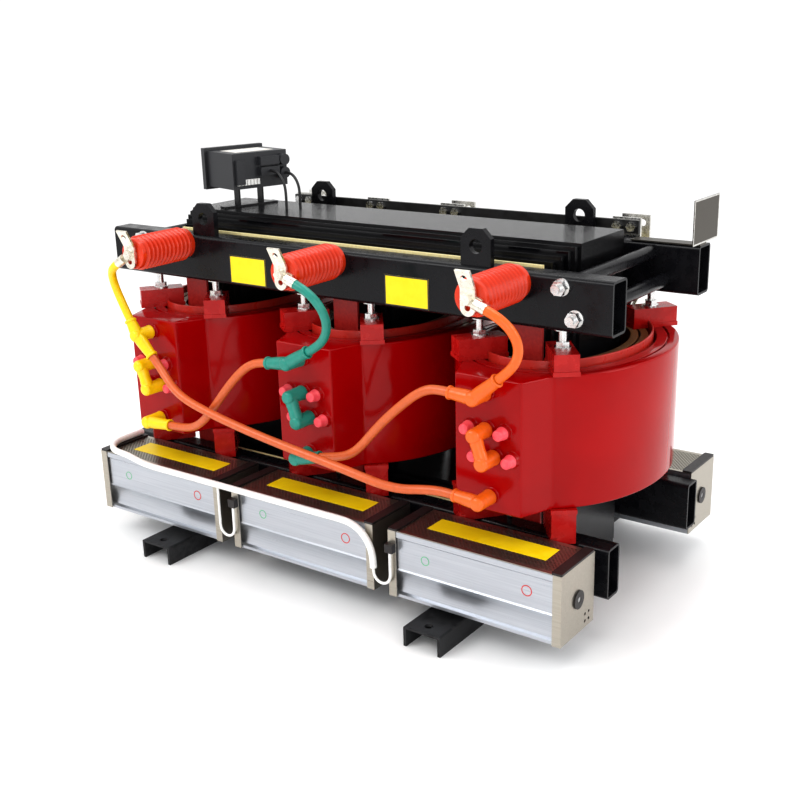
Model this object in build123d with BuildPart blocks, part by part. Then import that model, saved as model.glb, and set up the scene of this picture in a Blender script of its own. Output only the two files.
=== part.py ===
from build123d import *
from math import cos, pi, radians, sin, tan
import os

# Three-phase cast-resin dry type transformer, all sizes in millimetres.
# X runs along the row of three coils, -Y is the high-voltage side, +Z is up.
# The origin is the centre of the core, on the floor under the base channels.

os.makedirs("parts", exist_ok=True)

# ---------------------------------------------------------------- core
limb_pitch = 412.0
lamination_widths = (132.6, 122.0, 110.0, 95.0, 78.0, 58.0)
package_depths = (84.5, 14.0, 13.0, 13.0, 13.0, 12.5)
window_height = 374.4
limb_centres = (-limb_pitch, 0.0, limb_pitch)

# ---------------------------------------------------------------- base
foot_length = 803.0
foot_width = 79.7
foot_height = 40.1
foot_web = 5.5
foot_flange = 6.0
foot_spacing = 682.8
foot_hole_radius = 8.0
foot_hole_inset = 23.7
core_pad_height = 16.5

# ---------------------------------------------------------------- clamps
board_thickness = 5.3
board_rise = 3.5
board_half_length = 441.0
upper_clamp_length = 1200.0
upper_clamp_depth = 52.6
upper_clamp_height = 94.8
lower_clamp_length = 1207.0
lower_clamp_depth = 44.7
lower_clamp_height = 97.7
clamp_wall = 4.5
clamp_corner = 8.0
clamp_window_gap = 4.5
lug_spacing = 664.0
lug_width = 62.0
lug_height = 66.0
lug_thickness = 12.0
lug_setback = 14.0
lug_chamfer = 17.0
lug_hole_radius = 13.0
lug_hole_height = 34.5
tie_rod_radius = 8.0
tie_rod_clearance = 0.5
tie_rod_offsets = ((507.0, 30.0), (534.0, -21.0))
sleeve_radius = 13.0
tie_plate_width = 60.0

# ---------------------------------------------------------------- windings
lv_inner = (102.0, 164.0)
lv_build = 34.0
barrier_duct = 6.0
barrier_wall = 4.0
hv_duct = 5.0
hv_build = 43.0
winding_height = 245.0
winding_base_gap = 60.4
barrier_rise = 13.4
panel_front = 290.6
panel_half_width = 66.3
panel_root_half_width = 100.0
panel_root = 205.0
block_offset = (84.0, 181.6)
block_angle = 52.0
block_length = 92.0
block_width = 44.0
upper_block_height = 38.4
block_pad_height = 8.0
block_pad_margin = 3.0
fan_relief = 1.5
jack_radius = 7.0

# ---------------------------------------------------------------- high-voltage terminals
insulator_pitch = 400.0
insulator_shift = 17.0
insulator_length = 144.0
insulator_radius = 35.0
insulator_core_radius = 28.5
insulator_ribs = 11
insulator_height = 77.0
tab_width = 29.0
tab_thickness = 4.0
tab_tilt = 27.0
cable_radius = 8.5
boot_radius = 14.5
boot_arm_radius = 13.0
boss_radius = 14.0
boss_length = 7.0
cap_radius = 12.0
tap_pitch = 34.0
tap_row_shift = 16.0
tap_heights = (153.0, 105.5)
top_terminal = (-2.0, 219.0)
bottom_terminal = (8.0, 31.0)

# ---------------------------------------------------------------- low-voltage bars
bar_width = 60.0
bar_thickness = 6.0
bar_shift = 11.0
inner_bar_y = 215.0
outer_bar_y = 259.0
bar_top = 696.0
neutral_height = 26.0
neutral_thickness = 8.0

# ---------------------------------------------------------------- fans
fan_pitch = 393.0
fan_shift = 18.0
fan_length = 358.0
fan_depth = 121.0
fan_bottom = 58.4
fan_height = 137.0
front_fan_gap = 26.0
rear_fan_gap = 3.0
fan_sheet = 2.0
fan_wall = 2.5
fan_flange = 17.0
fan_cap_height = 4.0
fan_cap_width = 20.0
rotor_radius = 37.0
rotor_blades = 18
rotor_shaft_radius = 5.0
shaft_clearance = 0.05
bearing_radius = 17.0
motor_radius = 30.0
motor_length = 44.0

# ---------------------------------------------------------------- controller and plate
controller_centre = (-386.0, 0.0)
controller_turn = -15.0
case_depth = 105.0
case_width = 138.0
case_height = 76.0
case_lift = 44.0
bezel_margin = 6.5
bezel_thickness = 13.0
plate_width = 120.0
plate_height = 84.0
plate_thickness = 1.5

# ---------------------------------------------------------------- worked-out levels
limb_width = lamination_widths[0]
stack_half_depth = sum(package_depths)
core_bottom = foot_height + core_pad_height
lower_yoke_z = core_bottom + limb_width / 2
window_bottom = core_bottom + limb_width
window_top = window_bottom + window_height
upper_yoke_z = window_top + limb_width / 2
core_top = window_top + limb_width
clamp_inner = stack_half_depth + board_thickness
upper_clamp_outer = clamp_inner + upper_clamp_depth
lower_clamp_outer = clamp_inner + lower_clamp_depth
upper_clamp_base = window_top + clamp_window_gap
upper_clamp_top = upper_clamp_base + upper_clamp_height
upper_clamp_z = upper_clamp_base + upper_clamp_height / 2
lower_clamp_top = window_bottom - clamp_window_gap
lower_clamp_base = lower_clamp_top - lower_clamp_height
lower_clamp_z = lower_clamp_base + lower_clamp_height / 2
winding_base = window_bottom + winding_base_gap
winding_top = winding_base + winding_height


def grown(semi_axes, margin):
    """Semi-axes of an ellipse grown outwards by a margin."""
    return (semi_axes[0] + margin, semi_axes[1] + margin)


lv_outer = grown(lv_inner, lv_build)
barrier_inner = grown(lv_outer, barrier_duct)
barrier_outer = grown(barrier_inner, barrier_wall)
hv_inner = grown(barrier_outer, hv_duct)
hv_outer = grown(hv_inner, hv_build)
barrier_top = winding_top + barrier_rise


def save(part, name):
    """Label a finished sub-part and write it as one STEP file."""
    part.part.label = name
    export_step(part.part, f"parts/{name}.step")


# ================================================================ core


def lamination_package(number):
    """Width, inner depth and outer depth of one lamination package, counted from the middle."""
    inner = sum(package_depths[:number])
    return lamination_widths[number], inner, inner + package_depths[number]


def package_boxes(length, height, inner, outer, axis):
    """One package: a single slab in the middle, or a pair in front and behind."""
    size = (length, outer - inner, height) if axis == "x" else (height, outer - inner, length)
    if inner == 0.0:
        Box(size[0], 2 * outer, size[2])
    else:
        middle = (inner + outer) / 2
        with Locations((0, -middle, 0), (0, middle, 0)):
            Box(*size)


def core_limb(name, x_centre):
    """A stepped limb: each narrower package is longer and meets its own yoke package."""
    with BuildPart() as limb:
        with Locations((x_centre, 0, window_bottom + window_height / 2)):
            for number in range(len(lamination_widths)):
                width, inner, outer = lamination_package(number)
                package_boxes(window_height + limb_width - width, width, inner, outer, "z")
    save(limb, name)


def core_yoke(name, z_centre):
    """A stepped yoke, closed over the outer limbs by packages of matching widths."""
    with BuildPart() as yoke:
        with Locations((0, 0, z_centre)):
            for number in range(len(lamination_widths)):
                width, inner, outer = lamination_package(number)
                package_boxes(2 * limb_pitch + width, width, inner, outer, "x")
    save(yoke, name)


for phase, x_centre in zip("abc", limb_centres):
    core_limb(f"core_limb_{phase}", x_centre)
core_yoke("core_yoke_top", upper_yoke_z)
core_yoke("core_yoke_bottom", lower_yoke_z)

# ================================================================ base channels and packers


with BuildPart() as base_channels:
    with BuildSketch(Plane.XZ.offset(-foot_length / 2)):
        for x_centre in (-foot_spacing / 2, foot_spacing / 2):
            with Locations((x_centre, foot_height / 2)):
                Rectangle(foot_width, foot_height)
            with Locations((x_centre, (foot_height - foot_web) / 2)):
                Rectangle(foot_width - 2 * foot_flange, foot_height - foot_web, mode=Mode.SUBTRACT)
    extrude(amount=foot_length)
    fillet(base_channels.edges().filter_by(Axis.Y).group_by(Axis.Z)[-1], 4.0)
    with BuildSketch(Plane.XY):
        with GridLocations(foot_spacing, foot_length - 2 * foot_hole_inset, 2, 2):
            Circle(foot_hole_radius)
    extrude(amount=foot_height, mode=Mode.SUBTRACT)
save(base_channels, "base_channels")

packer_length = 70.0
packer_wall = 4.5
with BuildPart() as foot_packers:
    for side in (-1, 1):
        for end in (-1, 1):
            y_middle = side * (clamp_inner + lower_clamp_depth / 2)
            with BuildSketch(Plane.XZ.offset(-y_middle - lower_clamp_depth / 2)):
                with Locations((end * foot_spacing / 2, (foot_height + lower_clamp_base) / 2)):
                    Rectangle(packer_length, lower_clamp_base - foot_height)
                    Rectangle(
                        packer_length - 2 * packer_wall,
                        lower_clamp_base - foot_height - 2 * packer_wall,
                        mode=Mode.SUBTRACT,
                    )
            extrude(amount=lower_clamp_depth)
    with Locations((0, 0, foot_height + core_pad_height / 2)):
        with GridLocations(foot_spacing, 0.001, 2, 1):
            Box(foot_width, 2 * package_depths[0], core_pad_height)
save(foot_packers, "foot_packers")

# ================================================================ clamps


def jack_places(side):
    """X and Y of the two winding blocks of each coil on one side (-1 front, 1 rear)."""
    return [
        (x_centre + end * block_offset[0], side * block_offset[1])
        for x_centre in limb_centres
        for end in (-1, 1)
    ]


def tube_section(y_middle, z_middle, depth, height):
    """Section of a rectangular hollow section with rounded corners, on a YZ plane."""
    with Locations((y_middle, z_middle)):
        RectangleRounded(depth, height, clamp_corner)
        RectangleRounded(
            depth - 2 * clamp_wall,
            height - 2 * clamp_wall,
            clamp_corner - clamp_wall,
            mode=Mode.SUBTRACT,
        )


insulator_places = [insulator_shift + number * insulator_pitch for number in (-1, 0, 1)]
insulator_z = upper_clamp_base + insulator_height
stud_radius = 6.0


def lug_outline(x_lug):
    """Octagonal-topped lifting lug standing on the clamp, drawn as X and Z."""
    half = lug_width / 2
    foot = upper_clamp_top - 0.5
    shoulder = upper_clamp_top + lug_height - lug_chamfer
    with BuildLine() as outline:
        Polyline(
            (x_lug - half, foot),
            (x_lug + half, foot),
            (x_lug + half, shoulder),
            (x_lug + half - lug_chamfer, shoulder + lug_chamfer),
            (x_lug - half + lug_chamfer, shoulder + lug_chamfer),
            (x_lug - half, shoulder),
            close=True,
        )
    make_face(outline.edges())


def upper_clamp(name, side):
    """Upper yoke clamp with its two welded lifting lugs, tie-rod holes and jack-bolt holes."""
    y_middle = side * (clamp_inner + upper_clamp_depth / 2)
    with BuildPart() as clamp:
        with BuildSketch(Plane.YZ.offset(-upper_clamp_length / 2)):
            tube_section(y_middle, upper_clamp_z, upper_clamp_depth, upper_clamp_height)
        extrude(amount=upper_clamp_length)
        lug_y = side * (upper_clamp_outer - lug_setback)
        with BuildSketch(Plane.XZ.offset(-lug_y - lug_thickness / 2)):
            for x_lug in (-lug_spacing / 2, lug_spacing / 2):
                lug_outline(x_lug)
                with Locations((x_lug, upper_clamp_top + lug_hole_height)):
                    Circle(lug_hole_radius, mode=Mode.SUBTRACT)
        extrude(amount=lug_thickness)
        with BuildSketch(Plane.XZ.offset(-y_middle - upper_clamp_depth)):
            for x_rod, z_rod in tie_rod_offsets:
                with Locations((x_rod, upper_clamp_z + z_rod), (-x_rod, upper_clamp_z + z_rod)):
                    Circle(tie_rod_radius + tie_rod_clearance)
        extrude(amount=2 * upper_clamp_depth, mode=Mode.SUBTRACT)
        with BuildSketch(Plane.XY.offset(upper_clamp_base - 1)):
            with Locations(*jack_places(side)):
                Circle(jack_radius + tie_rod_clearance)
        extrude(amount=clamp_wall + 2, mode=Mode.SUBTRACT)
        if side < 0:
            with BuildSketch(Plane.XZ.offset(upper_clamp_outer - clamp_wall - 1)):
                with Locations(*[(x_place, insulator_z) for x_place in insulator_places]):
                    Circle(stud_radius + tie_rod_clearance)
            extrude(amount=clamp_wall + 2, mode=Mode.SUBTRACT)
    save(clamp, name)


upper_clamp("clamp_upper_front", -1)
upper_clamp("clamp_upper_rear", 1)

with BuildPart() as lower_clamps:
    with BuildSketch(Plane.YZ.offset(-lower_clamp_length / 2)):
        for side in (-1, 1):
            y_middle = side * (clamp_inner + lower_clamp_depth / 2)
            tube_section(y_middle, lower_clamp_z, lower_clamp_depth, lower_clamp_height)
    extrude(amount=lower_clamp_length)
save(lower_clamps, "lower_clamps")

# Flat tie plates down the front and back of each limb, from clamp to clamp.
tie_plate_inset = 22.0
tie_plate_top = upper_clamp_top - tie_plate_inset
tie_plate_bottom = lower_clamp_base + tie_plate_inset
board_y = stack_half_depth + board_thickness / 2
with BuildPart() as tie_plates:
    for side in (-1, 1):
        for x_centre in limb_centres:
            with Locations((x_centre, side * board_y, (tie_plate_top + tie_plate_bottom) / 2)):
                Box(tie_plate_width, board_thickness, tie_plate_top - tie_plate_bottom)
save(tie_plates, "tie_plates")

# Insulating boards between each yoke and its clamps, notched for the tie plates, and the
# distance pieces that hold the low-voltage bars off the rear clamp.
board_gap = 2.0
board_edge_gap = 2.0
bar_block_z = 620.0
bar_block_height = 34.0
with BuildPart() as yoke_boards:
    upper_board = (upper_clamp_base + board_edge_gap, upper_clamp_top + board_rise)
    lower_board = (lower_clamp_base + board_edge_gap, lower_clamp_top - board_edge_gap)
    upper_notch = (upper_clamp_base, tie_plate_top + board_gap)
    lower_notch = (tie_plate_bottom - board_gap, lower_clamp_top)
    for side in (-1, 1):
        for z_low, z_high in (upper_board, lower_board):
            with Locations((0, side * board_y, (z_low + z_high) / 2)):
                Box(2 * board_half_length, board_thickness, z_high - z_low)
        for z_low, z_high in (upper_notch, lower_notch):
            for x_centre in limb_centres:
                with Locations((x_centre, side * board_y, (z_low + z_high) / 2)):
                    Box(
                        tie_plate_width + 2 * board_gap,
                        2 * board_thickness,
                        z_high - z_low,
                        mode=Mode.SUBTRACT,
                    )
    for y_low, y_high in (
        (upper_clamp_outer, inner_bar_y),
        (inner_bar_y + bar_thickness, outer_bar_y),
    ):
        for x_centre in limb_centres:
            with Locations((x_centre + bar_shift, (y_low + y_high) / 2, bar_block_z)):
                Box(bar_width, y_high - y_low, bar_block_height)
save(yoke_boards, "yoke_boards")


# ================================================================ tie rods


nut_height = 13.0
nut_flats = 24.0
washer_radius = 15.0
washer_thickness = 3.0
rod_overhang = 26.0
with BuildPart() as tie_rods:
    for x_rod, z_rod in tie_rod_offsets:
        for end in (-1, 1):
            with BuildSketch(Plane.XZ.offset(-upper_clamp_outer - rod_overhang)):
                with Locations((end * x_rod, upper_clamp_z + z_rod)):
                    Circle(tie_rod_radius)
            extrude(amount=2 * (upper_clamp_outer + rod_overhang))
            for plane_offset in (upper_clamp_outer, -upper_clamp_outer - washer_thickness):
                with BuildSketch(Plane.XZ.offset(plane_offset)):
                    with Locations((end * x_rod, upper_clamp_z + z_rod)):
                        Circle(washer_radius)
                extrude(amount=washer_thickness)
            for plane_offset in (
                upper_clamp_outer + washer_thickness,
                -upper_clamp_outer - washer_thickness - nut_height,
            ):
                with BuildSketch(Plane.XZ.offset(plane_offset)):
                    with Locations((end * x_rod, upper_clamp_z + z_rod)):
                        RegularPolygon(nut_flats / 2, 6, major_radius=False)
                extrude(amount=nut_height)
save(tie_rods, "tie_rods")

sleeve_bore = tie_rod_radius + 0.5
with BuildPart() as tie_rod_sleeves:
    with BuildSketch(Plane.XZ.offset(-clamp_inner)):
        for x_rod, z_rod in tie_rod_offsets:
            with Locations((x_rod, upper_clamp_z + z_rod), (-x_rod, upper_clamp_z + z_rod)):
                Circle(sleeve_radius)
                Circle(sleeve_bore, mode=Mode.SUBTRACT)
    extrude(amount=2 * clamp_inner)
save(tie_rod_sleeves, "tie_rod_sleeves")

# ================================================================ windings

groove_depth = 6.0
groove_width = 4.0
panel_fillet = 3.0


def hv_winding(name, x_centre):
    """High-voltage coil cast in resin: an oval ring with a flat terminal panel in front."""
    with BuildPart() as coil:
        with BuildSketch(Plane.XY.offset(winding_base)):
            with Locations((x_centre, 0)):
                Ellipse(*hv_outer)
                with BuildLine():
                    Polyline(
                        (x_centre - panel_root_half_width, -panel_root),
                        (x_centre - panel_half_width, -panel_front),
                        (x_centre + panel_half_width, -panel_front),
                        (x_centre + panel_root_half_width, -panel_root),
                        close=True,
                    )
            make_face()
            with Locations((x_centre, 0)):
                Ellipse(*hv_inner, mode=Mode.SUBTRACT)
        extrude(amount=winding_height)
        with BuildSketch(Plane.XY.offset(winding_top - groove_depth)):
            with Locations((x_centre, 0)):
                Ellipse(*grown(hv_inner, hv_build / 2))
                Ellipse(*grown(hv_inner, hv_build / 2 - groove_width), mode=Mode.SUBTRACT)
        extrude(amount=groove_depth, mode=Mode.SUBTRACT)
        with BuildSketch(Plane.XZ.offset(panel_front)):
            with Locations(*[(x_centre + x_stud, winding_base + z_stud) for x_stud, z_stud in studs]):
                Circle(boss_radius)
        extrude(amount=boss_length, taper=8)
    save(coil, name)


def tap_studs():
    """X and Z of the six tap studs on a coil's panel: two rows of three, one pair per column."""
    places = []
    for row, row_height in enumerate(tap_heights):
        for column in (-1, 0, 1):
            places.append((column * tap_pitch + row * tap_row_shift, row_height))
    return places


linked_taps = [tap_studs()[1], tap_studs()[4]]
capped_taps = [place for place in tap_studs() if place not in linked_taps]
studs = tap_studs() + [top_terminal, bottom_terminal]


def lv_winding(name, x_centre):
    """Low-voltage foil coil: a plain oval ring with two cooling ducts seen at its ends."""
    with BuildPart() as coil:
        with BuildSketch(Plane.XY.offset(winding_base)):
            with Locations((x_centre, 0)):
                Ellipse(*lv_outer)
                Ellipse(*lv_inner, mode=Mode.SUBTRACT)
        extrude(amount=winding_height)
        for duct in (lv_build / 3, 2 * lv_build / 3):
            with BuildSketch(Plane.XY.offset(winding_top - 2 * groove_depth)):
                with Locations((x_centre, 0)):
                    Ellipse(*grown(lv_inner, duct + groove_width / 2))
                    Ellipse(*grown(lv_inner, duct - groove_width / 2), mode=Mode.SUBTRACT)
            extrude(amount=2 * groove_depth, mode=Mode.SUBTRACT)
    save(coil, name)


for phase, x_centre in zip("abc", limb_centres):
    hv_winding(f"hv_winding_{phase}", x_centre)
    lv_winding(f"lv_winding_{phase}", x_centre)

with BuildPart() as winding_barriers:
    with BuildSketch(Plane.XY.offset(winding_base)):
        for x_centre in limb_centres:
            with Locations((x_centre, 0)):
                Ellipse(*barrier_outer)
                Ellipse(*barrier_inner, mode=Mode.SUBTRACT)
    extrude(amount=barrier_top - winding_base)
save(winding_barriers, "winding_barriers")

# ================================================================ winding blocks and jack bolts


def block_pose(x_place, y_place):
    """Blocks lie along the radius of the oval: the angle mirrors with the side and the end."""
    x_local = min((x_place - x_centre for x_centre in limb_centres), key=abs)
    lean = 1 if x_local * y_place > 0 else -1
    return Location((x_place, y_place), lean * block_angle)


def winding_blocks(name, z_low, z_high, pad_end):
    """Twelve support blocks; each has a wider soft pad on the face that meets the coils."""
    with BuildPart() as blocks:
        pad_low = z_low if pad_end < 0 else z_high - block_pad_height
        for side in (-1, 1):
            for x_place, y_place in jack_places(side):
                place = block_pose(x_place, y_place)
                with BuildSketch(Plane.XY.offset(z_low)):
                    with Locations(place):
                        Rectangle(block_length, block_width)
                extrude(amount=z_high - z_low)
                with BuildSketch(Plane.XY.offset(pad_low)):
                    with Locations(place):
                        Rectangle(block_length + block_pad_margin, block_width + block_pad_margin)
                extrude(amount=block_pad_height)
        if pad_end < 0:
            with BuildSketch(Plane.XY.offset(z_low)):
                for x_centre in limb_centres:
                    with Locations((x_centre, 0)):
                        Ellipse(*grown(barrier_outer, 0.5))
                        Ellipse(*grown(barrier_inner, -0.5), mode=Mode.SUBTRACT)
            extrude(amount=barrier_rise + 0.3, mode=Mode.SUBTRACT)
        else:
            for side, fan_gap in ((-1, front_fan_gap), (1, rear_fan_gap)):
                relief_start = lower_clamp_outer + fan_gap - fan_relief
                relief_top = fan_bottom + fan_height + fan_relief
                with Locations((0, side * (relief_start + block_length), (z_low + relief_top) / 2)):
                    Box(lower_clamp_length, 2 * block_length, relief_top - z_low, mode=Mode.SUBTRACT)
    save(blocks, name)


block_top = winding_top + upper_block_height
winding_blocks("winding_blocks_upper", winding_top, block_top, -1)
winding_blocks("winding_blocks_lower", lower_clamp_top, winding_base, 1)

# ================================================================ post insulators and their terminals

rib_pitch = insulator_length / (insulator_ribs + 2)
insulator_face = upper_clamp_outer + insulator_length
insulator_head = insulator_radius - 4.0


def insulator_outline():
    """Half section of one post insulator: along the axis, then the radius."""
    points = [(0.0, 0.0), (0.0, insulator_head), (rib_pitch * 0.8, insulator_head)]
    for rib in range(1, insulator_ribs + 1):
        start = rib * rib_pitch
        points += [
            (start, insulator_core_radius),
            (start + 0.3 * rib_pitch, insulator_radius),
            (start + 0.5 * rib_pitch, insulator_radius),
            (start + 0.8 * rib_pitch, insulator_core_radius),
        ]
    points += [
        (insulator_length - rib_pitch, insulator_head),
        (insulator_length - 2.0, insulator_head),
        (insulator_length, insulator_head - 2.0),
        (insulator_length, 0.0),
    ]
    return points


with BuildPart() as post_insulators:
    for x_place in insulator_places:
        root = Vector(x_place, -upper_clamp_outer, insulator_z)
        with BuildSketch(Plane(origin=root, x_dir=(0, -1, 0), z_dir=(1, 0, 0))):
            with BuildLine():
                Polyline(*insulator_outline(), close=True)
            make_face()
        revolve(axis=Axis(root, (0, -1, 0)))
save(post_insulators, "post_insulators")

lug_palm = 4.0
tab_low = -29.0
tab_bend = 16.0
tab_upper = 37.0
lug_angles = (211.0, -21.0, -21.0)
lug_barrel_radius = 9.5
lug_barrel_start = 16.0
lug_reach = 39.0
lug_depth = insulator_face + 10.0
with BuildPart() as hv_terminals:
    for number, x_place in enumerate(insulator_places):
        face_plane = Plane(
            origin=(x_place, -insulator_face, insulator_z), x_dir=(1, 0, 0), z_dir=(0, -1, 0)
        )
        with BuildSketch(face_plane):
            Circle(tab_width / 2 - 2)
            with Locations(Location((0, 0), lug_angles[number])):
                with Locations((lug_barrel_start / 2 + 4, 0)):
                    Rectangle(lug_barrel_start + 8, 2 * lug_barrel_radius)
        extrude(amount=lug_palm)
        lean = radians(lug_angles[number])
        along = Vector(cos(lean), 0, sin(lean))
        barrel_start = Vector(x_place, -lug_depth, insulator_z) + along * lug_barrel_start
        with BuildSketch(Plane(origin=barrel_start, z_dir=along)):
            Circle(lug_barrel_radius)
        extrude(amount=lug_reach - lug_barrel_start)
        with BuildSketch(face_plane.offset(lug_palm)):
            with Locations((0, (tab_bend + tab_low) / 2 + tab_width / 4)):
                Rectangle(tab_width, tab_bend - tab_low - tab_width / 2)
            with Locations((0, tab_low + tab_width / 2)):
                Circle(tab_width / 2)
                Circle(5.5, mode=Mode.SUBTRACT)
        extrude(amount=tab_thickness)
        bend_y = -insulator_face - lug_palm - tab_thickness
        tilt = radians(tab_tilt)
        with BuildSketch(Plane.YZ.offset(x_place - tab_width / 2)):
            with BuildLine():
                Polyline(
                    (bend_y + tab_thickness, insulator_z + tab_bend),
                    (bend_y, insulator_z + tab_bend),
                    (bend_y - tab_upper * sin(tilt), insulator_z + tab_bend + tab_upper * cos(tilt)),
                    (
                        bend_y - tab_upper * sin(tilt) + tab_thickness * cos(tilt),
                        insulator_z + tab_bend + tab_upper * cos(tilt) + tab_thickness * sin(tilt),
                    ),
                    close=True,
                )
            make_face()
        extrude(amount=tab_width)
        hole_plane = Plane(
            origin=(
                x_place,
                bend_y - 0.62 * tab_upper * sin(tilt),
                insulator_z + tab_bend + 0.62 * tab_upper * cos(tilt),
            ),
            x_dir=(1, 0, 0),
            z_dir=(0, -cos(tilt), -sin(tilt)),
        )
        with BuildSketch(hole_plane.offset(-8)):
            Circle(5.5)
        extrude(amount=16, mode=Mode.SUBTRACT)
        with BuildSketch(face_plane.offset(lug_palm + tab_thickness)):
            Circle(10.0)
        extrude(amount=2.0)
        with BuildSketch(face_plane.offset(lug_palm + tab_thickness + 2.0)):
            RegularPolygon(8.5, 6, major_radius=False)
        extrude(amount=6.5)
save(hv_terminals, "hv_terminals")

# ================================================================ boots on the coil terminals

boot_length = 56.0
boot_y = -(panel_front + boot_length)
tee_arms = {
    "a": ((-18.0, 31.4), (40.0, -40.0)),
    "b": ((-52.0, -6.6), (52.0, 30.0)),
    "c": ((-50.0, 3.0), (48.0, 40.0)),
}
elbow_arms = {"a": (66.0, 4.0), "b": (60.0, 14.0), "c": (-52.0, 4.0)}


def boot_barrel(x_place, z_place, length):
    """The rubber barrel over one stud, standing out from the panel with a domed end."""
    barrel_plane = Plane(
        origin=(x_place, -panel_front - boss_length, z_place), x_dir=(1, 0, 0), z_dir=(0, -1, 0)
    )
    with BuildSketch(barrel_plane) as section:
        Circle(boot_radius)
    extrude(section.sketch, amount=length - boss_length)


def boot_arm(x_place, z_place, arm, depth):
    """A sleeve from the barrel towards a cable, lying parallel to the panel."""
    run = Vector(arm[0], 0, arm[1])
    arm_plane = Plane(origin=(x_place, depth, z_place), z_dir=run)
    with BuildSketch(arm_plane) as section:
        Circle(boot_arm_radius)
    extrude(section.sketch, amount=run.length)


arm_depth = boot_y + boot_arm_radius + 1.0
for phase, x_centre in zip("abc", limb_centres):
    with BuildPart() as boots:
        top_x = x_centre + top_terminal[0]
        top_z = winding_base + top_terminal[1]
        boot_barrel(top_x, top_z, boot_length)
        for arm in tee_arms[phase]:
            boot_arm(top_x, top_z, arm, arm_depth)
        low_x = x_centre + bottom_terminal[0]
        low_z = winding_base + bottom_terminal[1]
        boot_barrel(low_x, low_z, boot_length)
        boot_arm(low_x, low_z, elbow_arms[phase], arm_depth)
        for x_tap, z_tap in linked_taps:
            boot_barrel(x_centre + x_tap, winding_base + z_tap, boot_length)
        link = (linked_taps[1][0] - linked_taps[0][0], linked_taps[1][1] - linked_taps[0][1])
        boot_arm(x_centre + linked_taps[0][0], winding_base + linked_taps[0][1], link, arm_depth)
    save(boots, f"boots_{phase}")

cap_length = 20.0
with BuildPart() as tap_caps:
    with BuildSketch(Plane.XZ.offset(panel_front + boss_length)):
        for x_centre in limb_centres:
            for x_tap, z_tap in capped_taps:
                with Locations((x_centre + x_tap, winding_base + z_tap)):
                    Circle(cap_radius)
    extrude(amount=cap_length, taper=6)
save(tap_caps, "tap_caps")

# ================================================================ cables


def cord(name, points, radius):
    """A cord's tube: straight runs joined by tangent arcs as large as the runs allow."""
    corners = [Vector(point) for point in points]
    runs = [(after - before).length for before, after in zip(corners, corners[1:])]
    length = sum(runs)
    radii = []
    for number in range(1, len(corners) - 1):
        incoming = corners[number] - corners[number - 1]
        outgoing = corners[number + 1] - corners[number]
        turn = radians(incoming.get_angle(outgoing))
        tangent = 0.45 * min(incoming.length, outgoing.length)
        radii.append(tangent / tan(turn / 2))
        length += radii[-1] * turn - 2 * tangent
    with BuildPart() as tube:
        with BuildLine():
            FilletPolyline(*corners, radius=radii)
        with BuildSketch(Plane(origin=corners[0], z_dir=corners[1] - corners[0])):
            Circle(radius)
        sweep()
    share = tube.part.volume / (pi * radius**2 * length)
    print(f"{name}: length {length:.0f}, volume share {share:.4f}, least radius {min(radii):.0f}")
    print("   radii", [round(value) for value in radii])
    save(tube, name)


def sleeve_end(phase, terminal, arm, run):
    """Where a cable meets the sleeve of a boot, and a point one straight run outside it."""
    x_centre = limb_centres["abc".index(phase)]
    outwards = Vector(arm[0], 0, arm[1]).normalized()
    mouth = Vector(x_centre + terminal[0] + arm[0], arm_depth, winding_base + terminal[1] + arm[1])
    return [mouth, mouth + outwards * run]


def lug_end(number, run):
    """Where a jumper meets the crimped lug of a post insulator, and a point one run outside it."""
    lean = radians(lug_angles[number])
    outwards = Vector(cos(lean), 0, sin(lean))
    mouth = Vector(insulator_places[number], -lug_depth, insulator_z) + outwards * lug_reach
    return [mouth, mouth + outwards * run]


jumper_a_route = [
    *lug_end(0, 14.0),
    (-442.2, -357.8, 607.8), (-452.3, -350.7, 595.1), (-457.7, -343.8, 579.8),
    (-458.1, -338.4, 562.9), (-454.4, -334.9, 546), (-448.1, -333.1, 529.6),
    *reversed(sleeve_end("a", top_terminal, tee_arms["a"][0], 16.0)),
]
jumper_b_route = [
    *lug_end(1, 14.0),
    (83.5, -360.4, 616.5), (96.8, -356.5, 602.6), (104.9, -351.1, 585.6), (107.1, -345.1, 566.9),
    (103.1, -339.7, 548.5), (93.6, -335.7, 531.8), (80, -333.3, 517.8),
    *reversed(sleeve_end("b", top_terminal, tee_arms["b"][1], 16.0)),
]
jumper_c_route = [
    *lug_end(2, 14.0),
    (482.6, -359, 615.9), (494.4, -353.2, 601.6), (500.9, -346.5, 584.5), (501.2, -340.4, 566.1),
    (495.2, -335.8, 548.3), (484.3, -333.3, 532.4),
    *reversed(sleeve_end("c", top_terminal, tee_arms["c"][1], 16.0)),
]
delta_ac_route = [
    *sleeve_end("a", top_terminal, tee_arms["a"][1], 22.0),
    (-328.8, -339.3, 389.6), (-295.8, -350.6, 373.1), (-259.8, -357.8, 361.6),
    (-222.3, -361.4, 353.4), (-184.4, -364.3, 346.7), (-146.3, -367.1, 340.8),
    (-108.2, -369.4, 335.4), (-69.9, -371.2, 330.3), (-31.7, -372.2, 325.3), (6.6, -372.5, 320.3),
    (44.9, -372.3, 315.3), (83.1, -371.8, 310.3), (121.4, -370.8, 305.1), (159.4, -368.7, 299),
    (197.1, -365.2, 291.4), (234.4, -359.5, 283.4), (271.7, -350.4, 280), (308.2, -338.8, 284),
    *reversed(sleeve_end("c", bottom_terminal, elbow_arms["c"], 22.0)),
]
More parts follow.
